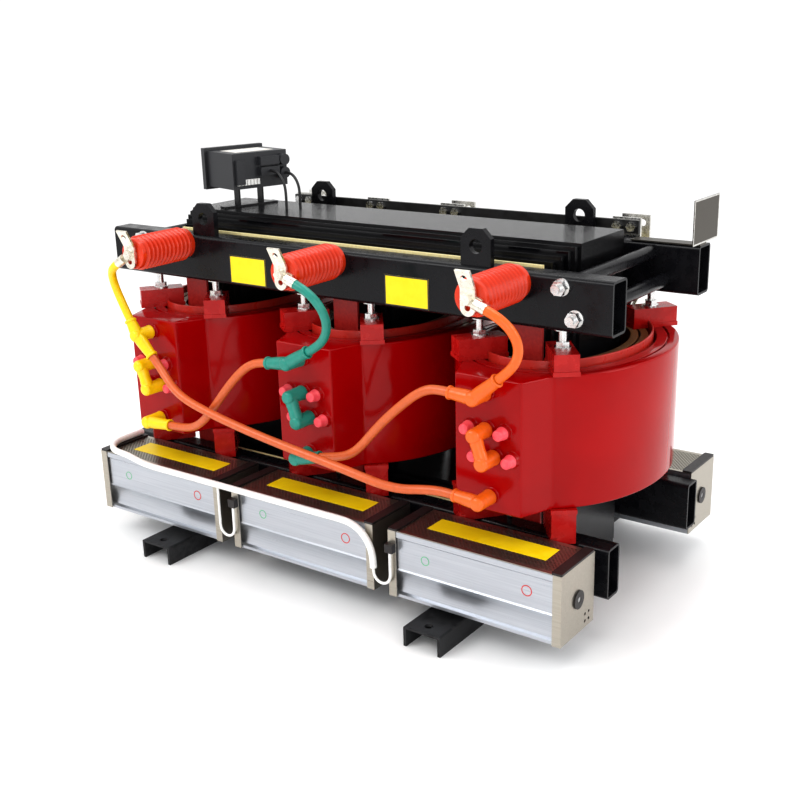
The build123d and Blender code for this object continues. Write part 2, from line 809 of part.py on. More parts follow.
delta_ab_route = [
    *sleeve_end("a", bottom_terminal, elbow_arms["a"], 20.0),
    (-292.5, -334.1, 288.4), (-267.7, -337.2, 294.4), (-244.7, -339.7, 305.8),
    (-224.5, -341, 321.6), (-206.3, -341.7, 339.8), (-189.1, -342.2, 358.9),
    (-172.2, -342.5, 378.4), (-155.2, -342, 397.8), (-138, -340.3, 416.8),
    (-120.1, -337.3, 435.1), (-99.9, -334.1, 450.6),
    *reversed(sleeve_end("b", top_terminal, tee_arms["b"][0], 22.0)),
]
delta_bc_route = [
    *sleeve_end("b", bottom_terminal, elbow_arms["b"], 20.0),
    (110.9, -334, 304.8), (133.5, -337, 312.4), (154.3, -339.5, 324.3), (172.6, -340.9, 340),
    (189.2, -341.6, 357.5), (205.3, -342, 375.4), (222, -342.4, 392.9), (239.3, -342.4, 409.7),
    (257, -341.6, 426), (275.1, -339.7, 441.8), (293.8, -336.8, 456.8), (314.5, -334, 468.7),
    *reversed(sleeve_end("c", top_terminal, tee_arms["c"][0], 22.0)),
]
cord("cable_jumper_a", jumper_a_route, cable_radius)
cord("cable_jumper_b", jumper_b_route, cable_radius)
cord("cable_jumper_c", jumper_c_route, cable_radius)
cord("cable_delta_ab", delta_ab_route, cable_radius)
cord("cable_delta_bc", delta_bc_route, cable_radius)
cord("cable_delta_ac", delta_ac_route, cable_radius)

# ================================================================ low-voltage bars

lead_low = winding_top
lead_bend_low = barrier_top + 6.0
lead_bend_high = upper_clamp_base - 6.0


def low_voltage_bar(x_centre, y_start, y_end):
    """A flat bar that rises from the foil coil, cranks outwards and stands behind the clamp."""
    with BuildSketch(Plane.YZ.offset(x_centre + bar_shift - bar_width / 2)) as section:
        with BuildLine():
            Polyline(
                (y_start, lead_low),
                (y_start, lead_bend_low),
                (y_end, lead_bend_high),
                (y_end, bar_top),
                (y_end + bar_thickness, bar_top),
                (y_end + bar_thickness, lead_bend_high - 2.0),
                (y_start + bar_thickness, lead_bend_low - 2.0),
                (y_start + bar_thickness, lead_low),
                close=True,
            )
        make_face()
    extrude(section.sketch, amount=bar_width)


lead_inner_y = lv_inner[1] + 2.0
lead_outer_y = lv_outer[1] - bar_thickness - 6.0
bar_hole_radius = 7.0
bar_hole_spacing = 30.0
bar_hole_z = bar_top - 16.0
neutral_outlet_x = -189.5
neutral_outlet_height = 62.0
joint_places = [x_centre + bar_shift for x_centre in limb_centres] + [neutral_outlet_x]
with BuildPart() as lv_bars:
    for x_centre in limb_centres:
        low_voltage_bar(x_centre, lead_inner_y, inner_bar_y)
        low_voltage_bar(x_centre, lead_outer_y, outer_bar_y)
    with BuildSketch(Plane.XZ.offset(-outer_bar_y - 2 * bar_thickness)):
        for x_centre in limb_centres:
            for end in (-1, 1):
                with Locations((x_centre + bar_shift + end * bar_hole_spacing / 2, bar_hole_z)):
                    Circle(bar_hole_radius)
    extrude(amount=2 * bar_thickness + outer_bar_y - inner_bar_y, mode=Mode.SUBTRACT)
    with BuildSketch(Plane.XZ.offset(-inner_bar_y)):
        with Locations((neutral_outlet_x, bar_top - neutral_outlet_height / 2)):
            Rectangle(bar_width, neutral_outlet_height)
        for end in (-1, 1):
            with Locations((neutral_outlet_x + end * bar_hole_spacing / 2, bar_hole_z)):
                Circle(bar_hole_radius, mode=Mode.SUBTRACT)
    extrude(amount=-bar_thickness)
save(lv_bars, "lv_bars")

neutral_left = -limb_pitch + bar_shift - bar_width / 2
neutral_right = limb_pitch + bar_shift + bar_width / 2
with BuildPart() as neutral_bar:
    with BuildSketch(Plane.XZ.offset(-inner_bar_y)):
        with Locations(((neutral_left + neutral_right) / 2, bar_top - neutral_height / 2 - 4)):
            Rectangle(neutral_right - neutral_left, neutral_height)
        for joint_x in joint_places:
            for end in (-1, 1):
                with Locations((joint_x + end * bar_hole_spacing / 2, bar_hole_z)):
                    Circle(bar_hole_radius, mode=Mode.SUBTRACT)
    extrude(amount=neutral_thickness)
save(neutral_bar, "neutral_bar")

# ================================================================ fasteners

bar_bolt_radius = 6.0
bar_head_height = 7.0
with BuildPart() as fasteners:
    for side in (-1, 1):
        for x_place, y_place in jack_places(side):
            with BuildSketch(Plane.XY.offset(block_top)):
                with Locations((x_place, y_place)):
                    Circle(jack_radius)
            extrude(amount=upper_clamp_base + clamp_wall + 10 - block_top)
            with BuildSketch(Plane.XY.offset(block_top)):
                with Locations((x_place, y_place)):
                    Circle(washer_radius)
            extrude(amount=washer_thickness)
            with BuildSketch(Plane.XY.offset(block_top + washer_thickness)):
                with Locations((x_place, y_place)):
                    RegularPolygon(11.0, 6, major_radius=False)
            extrude(amount=9.0)
            with BuildSketch(Plane.XY.offset(upper_clamp_base - washer_thickness)):
                with Locations((x_place, y_place)):
                    Circle(washer_radius)
            extrude(amount=washer_thickness)
    bolt_head_y = inner_bar_y - neutral_thickness
    for joint_x in joint_places:
        for end in (-1, 1):
            bolt_x = joint_x + end * bar_hole_spacing / 2
            with BuildSketch(Plane.XZ.offset(-bolt_head_y)):
                with Locations((bolt_x, bar_hole_z)):
                    RegularPolygon(9.0, 6, major_radius=False)
            extrude(amount=bar_head_height)
            with BuildSketch(Plane.XZ.offset(-inner_bar_y - bar_thickness - bar_head_height - 2)):
                with Locations((bolt_x, bar_hole_z)):
                    Circle(bar_bolt_radius)
            extrude(amount=bar_thickness + neutral_thickness + bar_head_height + 2)
            with BuildSketch(Plane.XZ.offset(-inner_bar_y - bar_thickness - bar_head_height)):
                with Locations((bolt_x, bar_hole_z)):
                    RegularPolygon(9.0, 6, major_radius=False)
            extrude(amount=bar_head_height)
save(fasteners, "fasteners")

# ================================================================ fans

grille_thickness = 2.0
axle_depth = 60.0
axle_height = 66.0
front_fan_back = lower_clamp_outer + front_fan_gap
rear_fan_back = lower_clamp_outer + rear_fan_gap
housing_height = fan_height - fan_cap_height - grille_thickness
housing_depth = fan_depth - fan_sheet
housing_length = fan_length - 2 * fan_sheet
housing_seam = 0.42 * housing_height


def fan_middle(number):
    """X of one fan's middle; fans 0 to 2 stand in front and 3 to 5 behind."""
    return fan_shift + (number % 3 - 1) * fan_pitch


def fan_side(number):
    """-1 for the three front fans and 1 for the three rear fans."""
    return -1 if number < 3 else 1


def fan_back(side):
    """Distance of a fan's back from the middle plane of the transformer."""
    return front_fan_back if side < 0 else rear_fan_back


def section_plane(side, x_start):
    """A plane across a fan: x runs outwards from its back and y upwards from its underside."""
    origin = (x_start, side * fan_back(side), fan_bottom)
    return Plane(origin=origin, x_dir=(0, side, 0), z_dir=(side, 0, 0))


def extrusion_start(number, length, offset=0.0):
    """X where a piece of a fan starts, so that extruding along the section plane centres it."""
    return fan_middle(number) + offset - fan_side(number) * length / 2


def housing_outline():
    """Outer edge of the housing section: stepped top rail, plain panel, hollowed lower front."""
    front = housing_depth
    top = housing_height
    with BuildLine() as outline:
        Polyline((front - 8, 0), (0, 0), (0, top), (front, top), (front, top - 11),
                 (front - 3, top - 14), (front - 3, housing_seam + 3), (front - 1, housing_seam))
        ThreePointArc((front - 1, housing_seam), (front - 9.5, housing_seam / 2 + 4), (front - 8, 9))
        Polyline((front - 8, 9), (front - 2, 6), (front - 2, 0), (front - 8, 0))
    return outline.edges()


def housing_hollow():
    """Inside of the housing section, open at the top."""
    front = housing_depth - fan_wall
    return [(fan_wall, fan_wall), (fan_wall, housing_height + 1), (front - 3, housing_height + 1),
            (front - 3, housing_seam + 2), (front - 10, housing_seam / 2 + 4), (front - 12, fan_wall)]


intake_slots = 6
intake_length = 36.0
intake_depth = 60.0
intake_pitch = 52.0


def fan_housing_group(name, numbers):
    """Hollow extruded housings with an open top for the grille and intake slots underneath."""
    with BuildPart() as housings:
        for number in numbers:
            side = fan_side(number)
            with BuildSketch(section_plane(side, extrusion_start(number, housing_length))):
                make_face(housing_outline())
                with BuildLine():
                    Polyline(*housing_hollow(), close=True)
                make_face(mode=Mode.SUBTRACT)
            extrude(amount=housing_length)
            slot_y = side * (fan_back(side) + axle_depth - 8)
            with BuildSketch(Plane.XY.offset(fan_bottom - 1)):
                with Locations((fan_middle(number), slot_y)):
                    with GridLocations(intake_pitch, 1, intake_slots, 1):
                        Rectangle(intake_length, intake_depth)
            extrude(amount=fan_wall + 2, mode=Mode.SUBTRACT)
    save(housings, name)


fan_housing_group("fan_housings_front", (0, 1, 2))
fan_housing_group("fan_housings_rear", (3, 4, 5))

# Folded end plates: each covers one end and laps round the front of the housing.
vent_radius = 3.0
with BuildPart() as fan_end_plates:
    for number in range(6):
        side = fan_side(number)
        front = side * (fan_back(side) + fan_depth)
        back = side * fan_back(side)
        for end in (-1, 1):
            outer = fan_middle(number) + end * fan_length / 2
            inner = outer - end * fan_sheet
            lap = outer - end * fan_flange
            with BuildSketch(Plane.XY.offset(fan_bottom)):
                with BuildLine():
                    Polyline((outer, back), (outer, front), (lap, front), (lap, front - side * fan_sheet),
                             (inner, front - side * fan_sheet), (inner, back), close=True)
                make_face()
            extrude(amount=housing_height + grille_thickness)
            with BuildSketch(section_plane(side, outer + side * fan_sheet * 2)):
                with Locations((axle_depth, axle_height)):
                    Circle(bearing_radius - 4)
                for place in ((18, 12), (32, 12), (18, 26), (32, 26)):
                    with Locations(place):
                        Circle(vent_radius)
            extrude(amount=-4 * fan_sheet, mode=Mode.SUBTRACT)
save(fan_end_plates, "fan_end_plates")

# Perforated outlet grilles and the black end caps that hold them down.
grille_slots = 14
grille_slot_length = 14.0
grille_slot_width = 5.0
grille_slot_pitch = 22.0
with BuildPart() as fan_grilles:
    for number in range(6):
        side = fan_side(number)
        middle_y = side * (fan_back(side) + housing_depth / 2)
        with BuildSketch(Plane.XY.offset(fan_bottom + housing_height)):
            with Locations((fan_middle(number), middle_y)):
                Rectangle(housing_length, housing_depth)
                with GridLocations(grille_slot_pitch, 0.64 * housing_depth, grille_slots, 2):
                    Rectangle(grille_slot_length, grille_slot_width, mode=Mode.SUBTRACT)
        extrude(amount=grille_thickness)
save(fan_grilles, "fan_grilles")

with BuildPart() as fan_caps:
    for number in range(6):
        side = fan_side(number)
        for end in (-1, 1):
            cap_x = fan_middle(number) + end * (fan_length - fan_cap_width) / 2
            with BuildSketch(Plane.XY.offset(fan_bottom + housing_height + grille_thickness)):
                with Locations((cap_x, side * (fan_back(side) + fan_depth / 2))):
                    RectangleRounded(fan_cap_width, fan_depth, 3)
            extrude(amount=fan_cap_height)
save(fan_caps, "fan_caps")

# Motors inside the left ends, and a bearing ring in each right end plate.
shaft_hole = rotor_shaft_radius + shaft_clearance
bearing_length = 9.0
lead_block = 17.0
lead_block_depth = 12.0
lead_block_z = 150.0
with BuildPart() as fan_motors:
    for number in range(6):
        side = fan_side(number)
        left = fan_middle(number) - fan_length / 2
        right = fan_middle(number) + fan_length / 2
        axle = (0, side * (fan_back(side) + axle_depth), fan_bottom + axle_height)
        with BuildSketch(Plane.YZ.offset(left + fan_sheet)):
            with Locations((axle[1], axle[2])):
                Circle(motor_radius)
                Circle(shaft_hole, mode=Mode.SUBTRACT)
        extrude(amount=motor_length)
        with BuildSketch(Plane.YZ.offset(right)):
            with Locations((axle[1], axle[2])):
                Circle(bearing_radius)
                Circle(shaft_hole, mode=Mode.SUBTRACT)
        extrude(amount=3.0)
        with BuildSketch(Plane.YZ.offset(right)):
            with Locations((axle[1], axle[2])):
                Circle(bearing_radius - 4.3)
                Circle(shaft_hole, mode=Mode.SUBTRACT)
        extrude(amount=-bearing_length)
    for number in (1, 2):
        block_x = fan_middle(number) - fan_length / 2 + lead_block / 2
        block_y = -(front_fan_back + fan_depth + lead_block_depth / 2)
        with Locations((block_x, block_y, lead_block_z + lead_block / 2)):
            Box(lead_block, lead_block_depth, lead_block)
save(fan_motors, "fan_motors")

# Cross-flow rotors: a cage of forward-curved blades between discs, on a stub shaft at each end.
disc_thickness = 2.0
blade_thickness = 1.2
blade_chord = 10.0
blade_lean = 32.0
for number in range(6):
    with BuildPart() as fan_rotor:
        side = fan_side(number)
        left = fan_middle(number) - fan_length / 2
        right = fan_middle(number) + fan_length / 2
        cage_left = left + fan_sheet + motor_length + 5
        cage_right = right - bearing_length - 5
        axle_y = side * (fan_back(side) + axle_depth)
        axle_z = fan_bottom + axle_height
        for disc_x in (cage_left, (cage_left + cage_right) / 2, cage_right - disc_thickness):
            with BuildSketch(Plane.YZ.offset(disc_x)):
                with Locations((axle_y, axle_z)):
                    Circle(rotor_radius)
            extrude(amount=disc_thickness)
        with BuildSketch(Plane.YZ.offset(cage_left)):
            with Locations((axle_y, axle_z)):
                with PolarLocations(rotor_radius - blade_chord / 2, rotor_blades):
                    Rectangle(blade_chord, blade_thickness, rotation=side * blade_lean)
        extrude(amount=cage_right - cage_left)
        with BuildSketch(Plane.YZ.offset(left + fan_sheet + 4)):
            with Locations((axle_y, axle_z)):
                Circle(rotor_shaft_radius)
        extrude(amount=cage_left - left - fan_sheet - 4)
        with BuildSketch(Plane.YZ.offset(cage_right)):
            with Locations((axle_y, axle_z)):
                Circle(rotor_shaft_radius)
        extrude(amount=right + 2.0 - cage_right)
    save(fan_rotor, f"fan_rotor_{number + 1}")

# Brackets between the fans and the lower clamps: folded channels in front, flat straps behind.
bracket_width = 40.0
bracket_height = 60.0
bracket_sheet = 3.0
bracket_spacing = 240.0
with BuildPart() as fan_brackets:
    for number in range(6):
        side = fan_side(number)
        gap = fan_back(side) - lower_clamp_outer
        for end in (-1, 1):
            bracket_x = fan_middle(number) + end * bracket_spacing / 2
            bracket_y = side * (lower_clamp_outer + gap / 2)
            with Locations((bracket_x, bracket_y, lower_clamp_z)):
                Box(bracket_width, gap, bracket_height)
            if gap > 3 * bracket_sheet:
                with Locations((bracket_x + bracket_sheet, bracket_y, lower_clamp_z)):
                    Box(bracket_width, gap - 2 * bracket_sheet, bracket_height, mode=Mode.SUBTRACT)
save(fan_brackets, "fan_brackets")

# ================================================================ temperature controller

case_bottom = core_top + case_lift
controller_plane = Plane(
    origin=(controller_centre[0], controller_centre[1], case_bottom),
    x_dir=(cos(radians(controller_turn)), sin(radians(controller_turn)), 0),
    z_dir=(0, 0, 1),
)
bezel_width = case_width + 2 * bezel_margin
bezel_height = case_height + 2 * bezel_margin
front_x = -case_depth / 2
with BuildPart() as temperature_controller:
    with BuildSketch(controller_plane):
        Rectangle(case_depth, case_width)
    extrude(amount=case_height)
    with BuildSketch(controller_plane.offset(-bezel_margin)):
        with Locations((front_x - bezel_thickness / 2, 0)):
            Rectangle(bezel_thickness, bezel_width)
    extrude(amount=bezel_height)
    with BuildSketch(controller_plane.offset(10)):
        with Locations((case_depth / 2 + 4, -case_width / 2 + 16)):
            Rectangle(8, 20)
    extrude(amount=case_height - 24)
    for plug_z in (26, 48):
        with BuildSketch(controller_plane.offset(plug_z)):
            with Locations((case_depth / 2 + 7, 18)):
                Rectangle(14, 48)
        extrude(amount=18)
    for connector_z in (28, 56):
        origin = controller_plane.from_local_coords(
            Vector(case_depth / 2, case_width / 2 - 14, connector_z)
        )
        with BuildSketch(Plane(origin=origin, z_dir=controller_plane.x_dir)):
            Circle(12)
        extrude(amount=16)
save(temperature_controller, "temperature_controller")

stand_width = 20.0
stand_sheet = 4.0
stand_spacing = 60.0
with BuildPart() as controller_stand:
    with BuildSketch(controller_plane.offset(-case_lift)):
        Rectangle(stand_width, case_width)
    extrude(amount=stand_sheet)
    with BuildSketch(controller_plane.offset(-case_lift)):
        with Locations((0, -stand_spacing / 2), (0, stand_spacing / 2)):
            Rectangle(stand_width, stand_sheet)
    extrude(amount=case_lift)
save(controller_stand, "controller_stand")

# ================================================================ rating plate

strip_width = 30.0
strip_length = 140.0
strip_sheet = 2.5
plate_lift = 5.0
plate_x = upper_clamp_length / 2
with BuildPart() as rating_plate:
    with Locations((plate_x - strip_length / 2, clamp_inner + strip_width / 2, upper_clamp_top + strip_sheet / 2)):
        Box(strip_length, strip_width, strip_sheet)
    with Locations((plate_x - strip_sheet / 2, clamp_inner + strip_width / 2, upper_clamp_top + 20)):
        Box(strip_sheet, strip_width, 40)
    with Locations(
        (
            plate_x + plate_thickness / 2,
            clamp_inner + strip_width / 2 + 7,
            upper_clamp_top + plate_lift + plate_height / 2,
        )
    ):
        Box(plate_thickness, plate_width, plate_height)
save(rating_plate, "rating_plate")

# ================================================================ fan conduit and leads

conduit_radius = 6.75
lead_radius = 2.75
controller_lead_radius = 3.0
conduit_route = [
    (-546, -232, 202.4), (-546.3, -252, 202.5), (-546, -272, 202.4), (-546.2, -288.2, 202.5),
    (-543.8, -305.3, 202.4), (-537.2, -321.2, 202.4), (-526.7, -334.9, 202.4),
    (-513, -345.4, 202.4), (-497.1, -352, 202.4), (-480, -354.2, 202.4), (-456, -354.2, 200.9),
    (-432, -354.6, 196.2), (-408, -354.2, 191.5), (-382, -354.2, 190), (-338.8, -354.8, 190.4),
    (-295.7, -354.2, 190), (-252.5, -354.8, 190.4), (-209.3, -354.2, 190),
    (-166.2, -354.8, 190.4), (-123, -354.2, 190), (-79.8, -354.8, 190.4), (-36.7, -354.2, 190),
    (6.5, -354.8, 190.4), (49.7, -354.2, 190), (92.8, -354.8, 190.4), (136, -354.2, 190),
    (156.4, -354.2, 186.8), (174.8, -354.2, 177.4), (189.4, -354.2, 162.8),
    (198.8, -354.2, 144.4), (202, -354.2, 124), (202, -354.2, 110),
]
fan_lead_1_route = [
    (-191, -354.2, 183.2), (-190.7, -354.2, 169.7), (-191, -354.2, 156.1),
    (-190.7, -354.2, 142.6), (-191, -354.2, 129.1), (-190.7, -354.2, 115.5), (-191, -354.2, 102),
    (-188.4, -354.2, 92.2), (-181.2, -354.2, 85.1), (-171.5, -354.2, 82.5),
    (-161.8, -354.2, 85.1), (-154.6, -354.2, 92.2), (-152, -354.2, 102), (-152.3, -354.2, 118),
    (-152, -354.2, 134), (-152, -354.2, 150),
]
fan_lead_2_route = [
    (202, -354.2, 110), (202, -354.2, 102), (204.6, -354.2, 92.2), (211.8, -354.2, 85.1),
    (221.5, -354.2, 82.5), (231.2, -354.2, 85.1), (238.4, -354.2, 92.2), (241, -354.2, 102),
    (240.7, -354.2, 118), (241, -354.2, 134), (241, -354.2, 150),
]
controller_lead_route = [
    (-305.6, 35.4, 768.2), (-295.94, 32.81, 768.2), (-284, 29.61, 766.24),
    (-273.23, 26.72, 760.56), (-264.68, 24.43, 751.71), (-259.19, 22.96, 740.56),
    (-257.3, 22.46, 728.2), (-257.01, 22.38, 717.53), (-257.3, 22.46, 706.87),
    (-257.3, 22.46, 696.2),
]
controller_wire_route = [
    (-317.11, 0.18, 775.2), (-307.45, -2.41, 775.2), (-294.31, -5.93, 773.05),
    (-282.47, -9.11, 766.8), (-273.06, -11.63, 757.06), (-267.03, -13.24, 744.8),
    (-264.95, -13.8, 731.2), (-264.66, -13.88, 719.53), (-264.95, -13.8, 707.87),
    (-264.95, -13.8, 696.2),
]
cord("fan_conduit", conduit_route, conduit_radius)
cord("fan_lead_1", fan_lead_1_route, lead_radius)
cord("fan_lead_2", fan_lead_2_route, lead_radius)
cord("controller_lead", controller_lead_route, controller_lead_radius)
cord("controller_wires", controller_wire_route, controller_lead_radius)
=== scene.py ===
"""Looks of a cast-resin dry type transformer: smooth castings, rubber boots, cables, finishes and stage."""

import bmesh
import bpy
import numpy as np
from bpy.props import FloatProperty, FloatVectorProperty, IntProperty, PointerProperty
from mathutils import Matrix, Vector


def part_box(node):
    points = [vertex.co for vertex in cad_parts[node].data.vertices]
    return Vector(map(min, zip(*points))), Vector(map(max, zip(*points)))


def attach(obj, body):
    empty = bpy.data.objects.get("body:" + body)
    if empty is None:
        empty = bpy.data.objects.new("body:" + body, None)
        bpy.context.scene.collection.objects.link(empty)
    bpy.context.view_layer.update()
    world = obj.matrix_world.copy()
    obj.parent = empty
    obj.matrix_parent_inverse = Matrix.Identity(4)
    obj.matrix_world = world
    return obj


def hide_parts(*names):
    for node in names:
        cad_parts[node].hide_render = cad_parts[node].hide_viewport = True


bl_info = {
    "name": "Dry type transformer looks",
    "version": (1, 0, 0),
    "blender": (4, 5, 0),
    "location": "View3D > Sidebar > Transformer",
    "description": "Castings, boots, cables, finishes and stage of a cast-resin dry type transformer",
    "category": "Object",
}

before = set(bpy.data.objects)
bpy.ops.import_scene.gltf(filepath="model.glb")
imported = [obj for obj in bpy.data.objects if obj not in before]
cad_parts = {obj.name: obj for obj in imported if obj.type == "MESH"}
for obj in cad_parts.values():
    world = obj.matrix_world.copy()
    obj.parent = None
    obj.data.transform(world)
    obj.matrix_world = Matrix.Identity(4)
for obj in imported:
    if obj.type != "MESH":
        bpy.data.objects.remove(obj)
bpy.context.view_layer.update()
MM = 0.001
PHASES = "abc"
ROOT = "root"


# ---------------------------------------------------------------- user settings


class TransformerFinish(bpy.types.PropertyGroup):
    """Colours that a user would change."""

    resin: FloatVectorProperty(
        name="Coil resin", description="Colour of the cast coils", subtype="COLOR",
        default=(0.32, 0.0, 0.001), min=0.0, max=1.0,
    )
    barrier: FloatVectorProperty(
        name="Barrier", description="Colour of the raised barrier rings", subtype="COLOR",
        default=(0.51, 0.024, 0.014), min=0.0, max=1.0,
    )
    insulator: FloatVectorProperty(
        name="Insulator", description="Colour of the post insulators", subtype="COLOR",
        default=(0.63, 0.038, 0.006), min=0.0, max=1.0,
    )
    enamel: FloatVectorProperty(
        name="Enamel", description="Colour of the painted steelwork", subtype="COLOR",
        default=(0.0045, 0.0045, 0.006), min=0.0, max=1.0,
    )
    yellow: FloatVectorProperty(
        name="Phase A", description="Colour of the first phase's rubber", subtype="COLOR",
        default=(0.92, 0.62, 0.0), min=0.0, max=1.0,
    )
    green: FloatVectorProperty(
        name="Phase B", description="Colour of the second phase's rubber", subtype="COLOR",
        default=(0.012, 0.26, 0.20), min=0.0, max=1.0,
    )
    orange: FloatVectorProperty(
        name="Phase C", description="Colour of the third phase's rubber", subtype="COLOR",
        default=(0.74, 0.135, 0.006), min=0.0, max=1.0,
    )
    delta: FloatVectorProperty(
        name="Delta cable", description="Colour of the long cables between the coils", subtype="COLOR",
        default=(0.60, 0.125, 0.03), min=0.0, max=1.0,
    )


class TransformerSizes(bpy.types.PropertyGroup):
    """Sizes of the shapes that are finer than the construction model."""

    edge_round: FloatProperty(
        name="Casting edge", description="Radius along the rims of the cast coils", unit="LENGTH",
        default=3.5 * MM, min=0.5 * MM, max=10 * MM,
    )
    insulator_ribs: IntProperty(
        name="Insulator ribs", description="Ribs on each post insulator", default=11, min=1, max=30,
    )
    cable_radius: FloatProperty(
        name="Cable radius", description="Radius of the high-voltage cables", unit="LENGTH",
        default=8.5 * MM, min=2 * MM, max=20 * MM,
    )
    hole_length: FloatProperty(
        name="Grille hole", description="Length of one perforation of the fan grilles", unit="LENGTH",
        default=5.6 * MM, min=1 * MM, max=20 * MM,
    )


def finish():
    """The finish settings of the scene."""
    return bpy.context.scene.transformer_finish


def sizes():
    """The size settings of the scene."""
    return bpy.context.scene.transformer_sizes


# ---------------------------------------------------------------- shared shader effects


def make_group(name, scale, depth):
    """An empty shader node group: vector, scale and bump depth in, mask and normal out."""
    group = bpy.data.node_groups.new(name, "ShaderNodeTree")
    group.interface.new_socket("Vector", in_out="INPUT", socket_type="NodeSocketVector")
    for label, value in (("Scale", scale), ("Depth", depth)):
        socket = group.interface.new_socket(label, in_out="INPUT", socket_type="NodeSocketFloat")
        socket.default_value = value
    group.interface.new_socket("Mask", in_out="OUTPUT", socket_type="NodeSocketFloat")
    group.interface.new_socket("Normal", in_out="OUTPUT", socket_type="NodeSocketVector")
    return group, group.nodes.new("NodeGroupInput"), group.nodes.new("NodeGroupOutput")


def bumped(group, given, result, pattern, mask, height_strength):
    """Wires a pattern's value into the group's mask output and into a bump of the given strength."""
    bump = group.nodes.new("ShaderNodeBump")
    bump.inputs["Strength"].default_value = height_strength
    group.links.new(given.outputs["Scale"], pattern.inputs["Scale"])
    group.links.new(pattern.outputs["Fac"], bump.inputs["Height"])
    group.links.new(given.outputs["Depth"], bump.inputs["Distance"])
    group.links.new(mask, result.inputs["Mask"])
    group.links.new(bump.outputs["Normal"], result.inputs["Normal"])
    return group


def film_group():
    """Paint film: slow noise gives a mask, and the same noise raises a shallow bump."""
    group, given, result = make_group("Uneven film", 60.0, 0.0002)
    noise = group.nodes.new("ShaderNodeTexNoise")
    noise.inputs["Detail"].default_value = 4.0
    spread = group.nodes.new("ShaderNodeMapRange")
    spread.inputs["From Min"].default_value = 0.35
    spread.inputs["From Max"].default_value = 0.65
    group.links.new(given.outputs["Vector"], noise.inputs["Vector"])
    group.links.new(noise.outputs["Fac"], spread.inputs["Value"])
    return bumped(group, given, result, noise, spread.outputs["Result"], 0.35)


def brush_group():
    """Brushed metal: noise stretched along X gives fine parallel lines."""
    group, given, result = make_group("Brushed lines", 500.0, 0.00005)
    stretch = group.nodes.new("ShaderNodeMapping")
    stretch.inputs["Scale"].default_value = (0.02, 1.0, 1.0)
    noise = group.nodes.new("ShaderNodeTexNoise")
    noise.inputs["Detail"].default_value = 3.0
    group.links.new(given.outputs["Vector"], stretch.inputs["Vector"])
    group.links.new(stretch.outputs["Vector"], noise.inputs["Vector"])
    return bumped(group, given, result, noise, noise.outputs["Fac"], 0.3)


def leaf_group():
    """Stacked sheets: a sine wave across Y gives the edges of thin steel leaves."""
    group, given, result = make_group("Stacked sheets", 160.0, 0.0004)
    wave = group.nodes.new("ShaderNodeTexWave")
    wave.bands_direction = "Y"
    wave.inputs["Distortion"].default_value = 0.4
    wave.inputs["Detail"].default_value = 2.0
    group.links.new(given.outputs["Vector"], wave.inputs["Vector"])
    return bumped(group, given, result, wave, wave.outputs["Fac"], 0.5)


GROUPS = {"film": film_group, "brush": brush_group, "leaf": leaf_group}
MADE_GROUPS = {}


def effect(tree, kind, scale, depth):
    """One of the shared effects on Object coordinates, with this material's own values."""
    if kind not in MADE_GROUPS:
        MADE_GROUPS[kind] = GROUPS[kind]()
    place = tree.nodes.new("ShaderNodeGroup")
    place.node_tree = MADE_GROUPS[kind]
    where = tree.nodes.new("ShaderNodeTexCoord")
    tree.links.new(where.outputs["Object"], place.inputs["Vector"])
    place.inputs["Scale"].default_value = scale
    place.inputs["Depth"].default_value = depth
    return place


# ---------------------------------------------------------------- materials


def surface_material(name, colour, second, rough, metallic=0.0, coat=0.0, kind="film", scale=60.0,
                     depth=0.0002, specular=0.5):
    """A finish whose colour and roughness both vary with one of the shared effects."""
    material = bpy.data.materials.new(name)
    material.use_nodes = True
    tree = material.node_tree
    shader = tree.nodes["Principled BSDF"]
    shader.inputs["Metallic"].default_value = metallic
    shader.inputs["Coat Weight"].default_value = coat
    shader.inputs["Coat Roughness"].default_value = 0.06
    shader.inputs["Specular IOR Level"].default_value = specular
    place = effect(tree, kind, scale, depth)
    ramp = tree.nodes.new("ShaderNodeValToRGB")
    ramp.color_ramp.elements[0].color = (*colour, 1.0)
    ramp.color_ramp.elements[1].color = (*second, 1.0)
    spread = tree.nodes.new("ShaderNodeMapRange")
    spread.inputs["To Min"].default_value = rough[0]
    spread.inputs["To Max"].default_value = rough[1]
    tree.links.new(place.outputs["Mask"], ramp.inputs["Fac"])
    tree.links.new(place.outputs["Mask"], spread.inputs["Value"])
    tree.links.new(ramp.outputs["Color"], shader.inputs["Base Color"])
    tree.links.new(spread.outputs["Result"], shader.inputs["Roughness"])
    tree.links.new(place.outputs["Normal"], shader.inputs["Normal"])
    return material


def shade(colour, factor):
    """A colour made lighter or darker."""
    return tuple(min(1.0, part * factor) for part in colour)


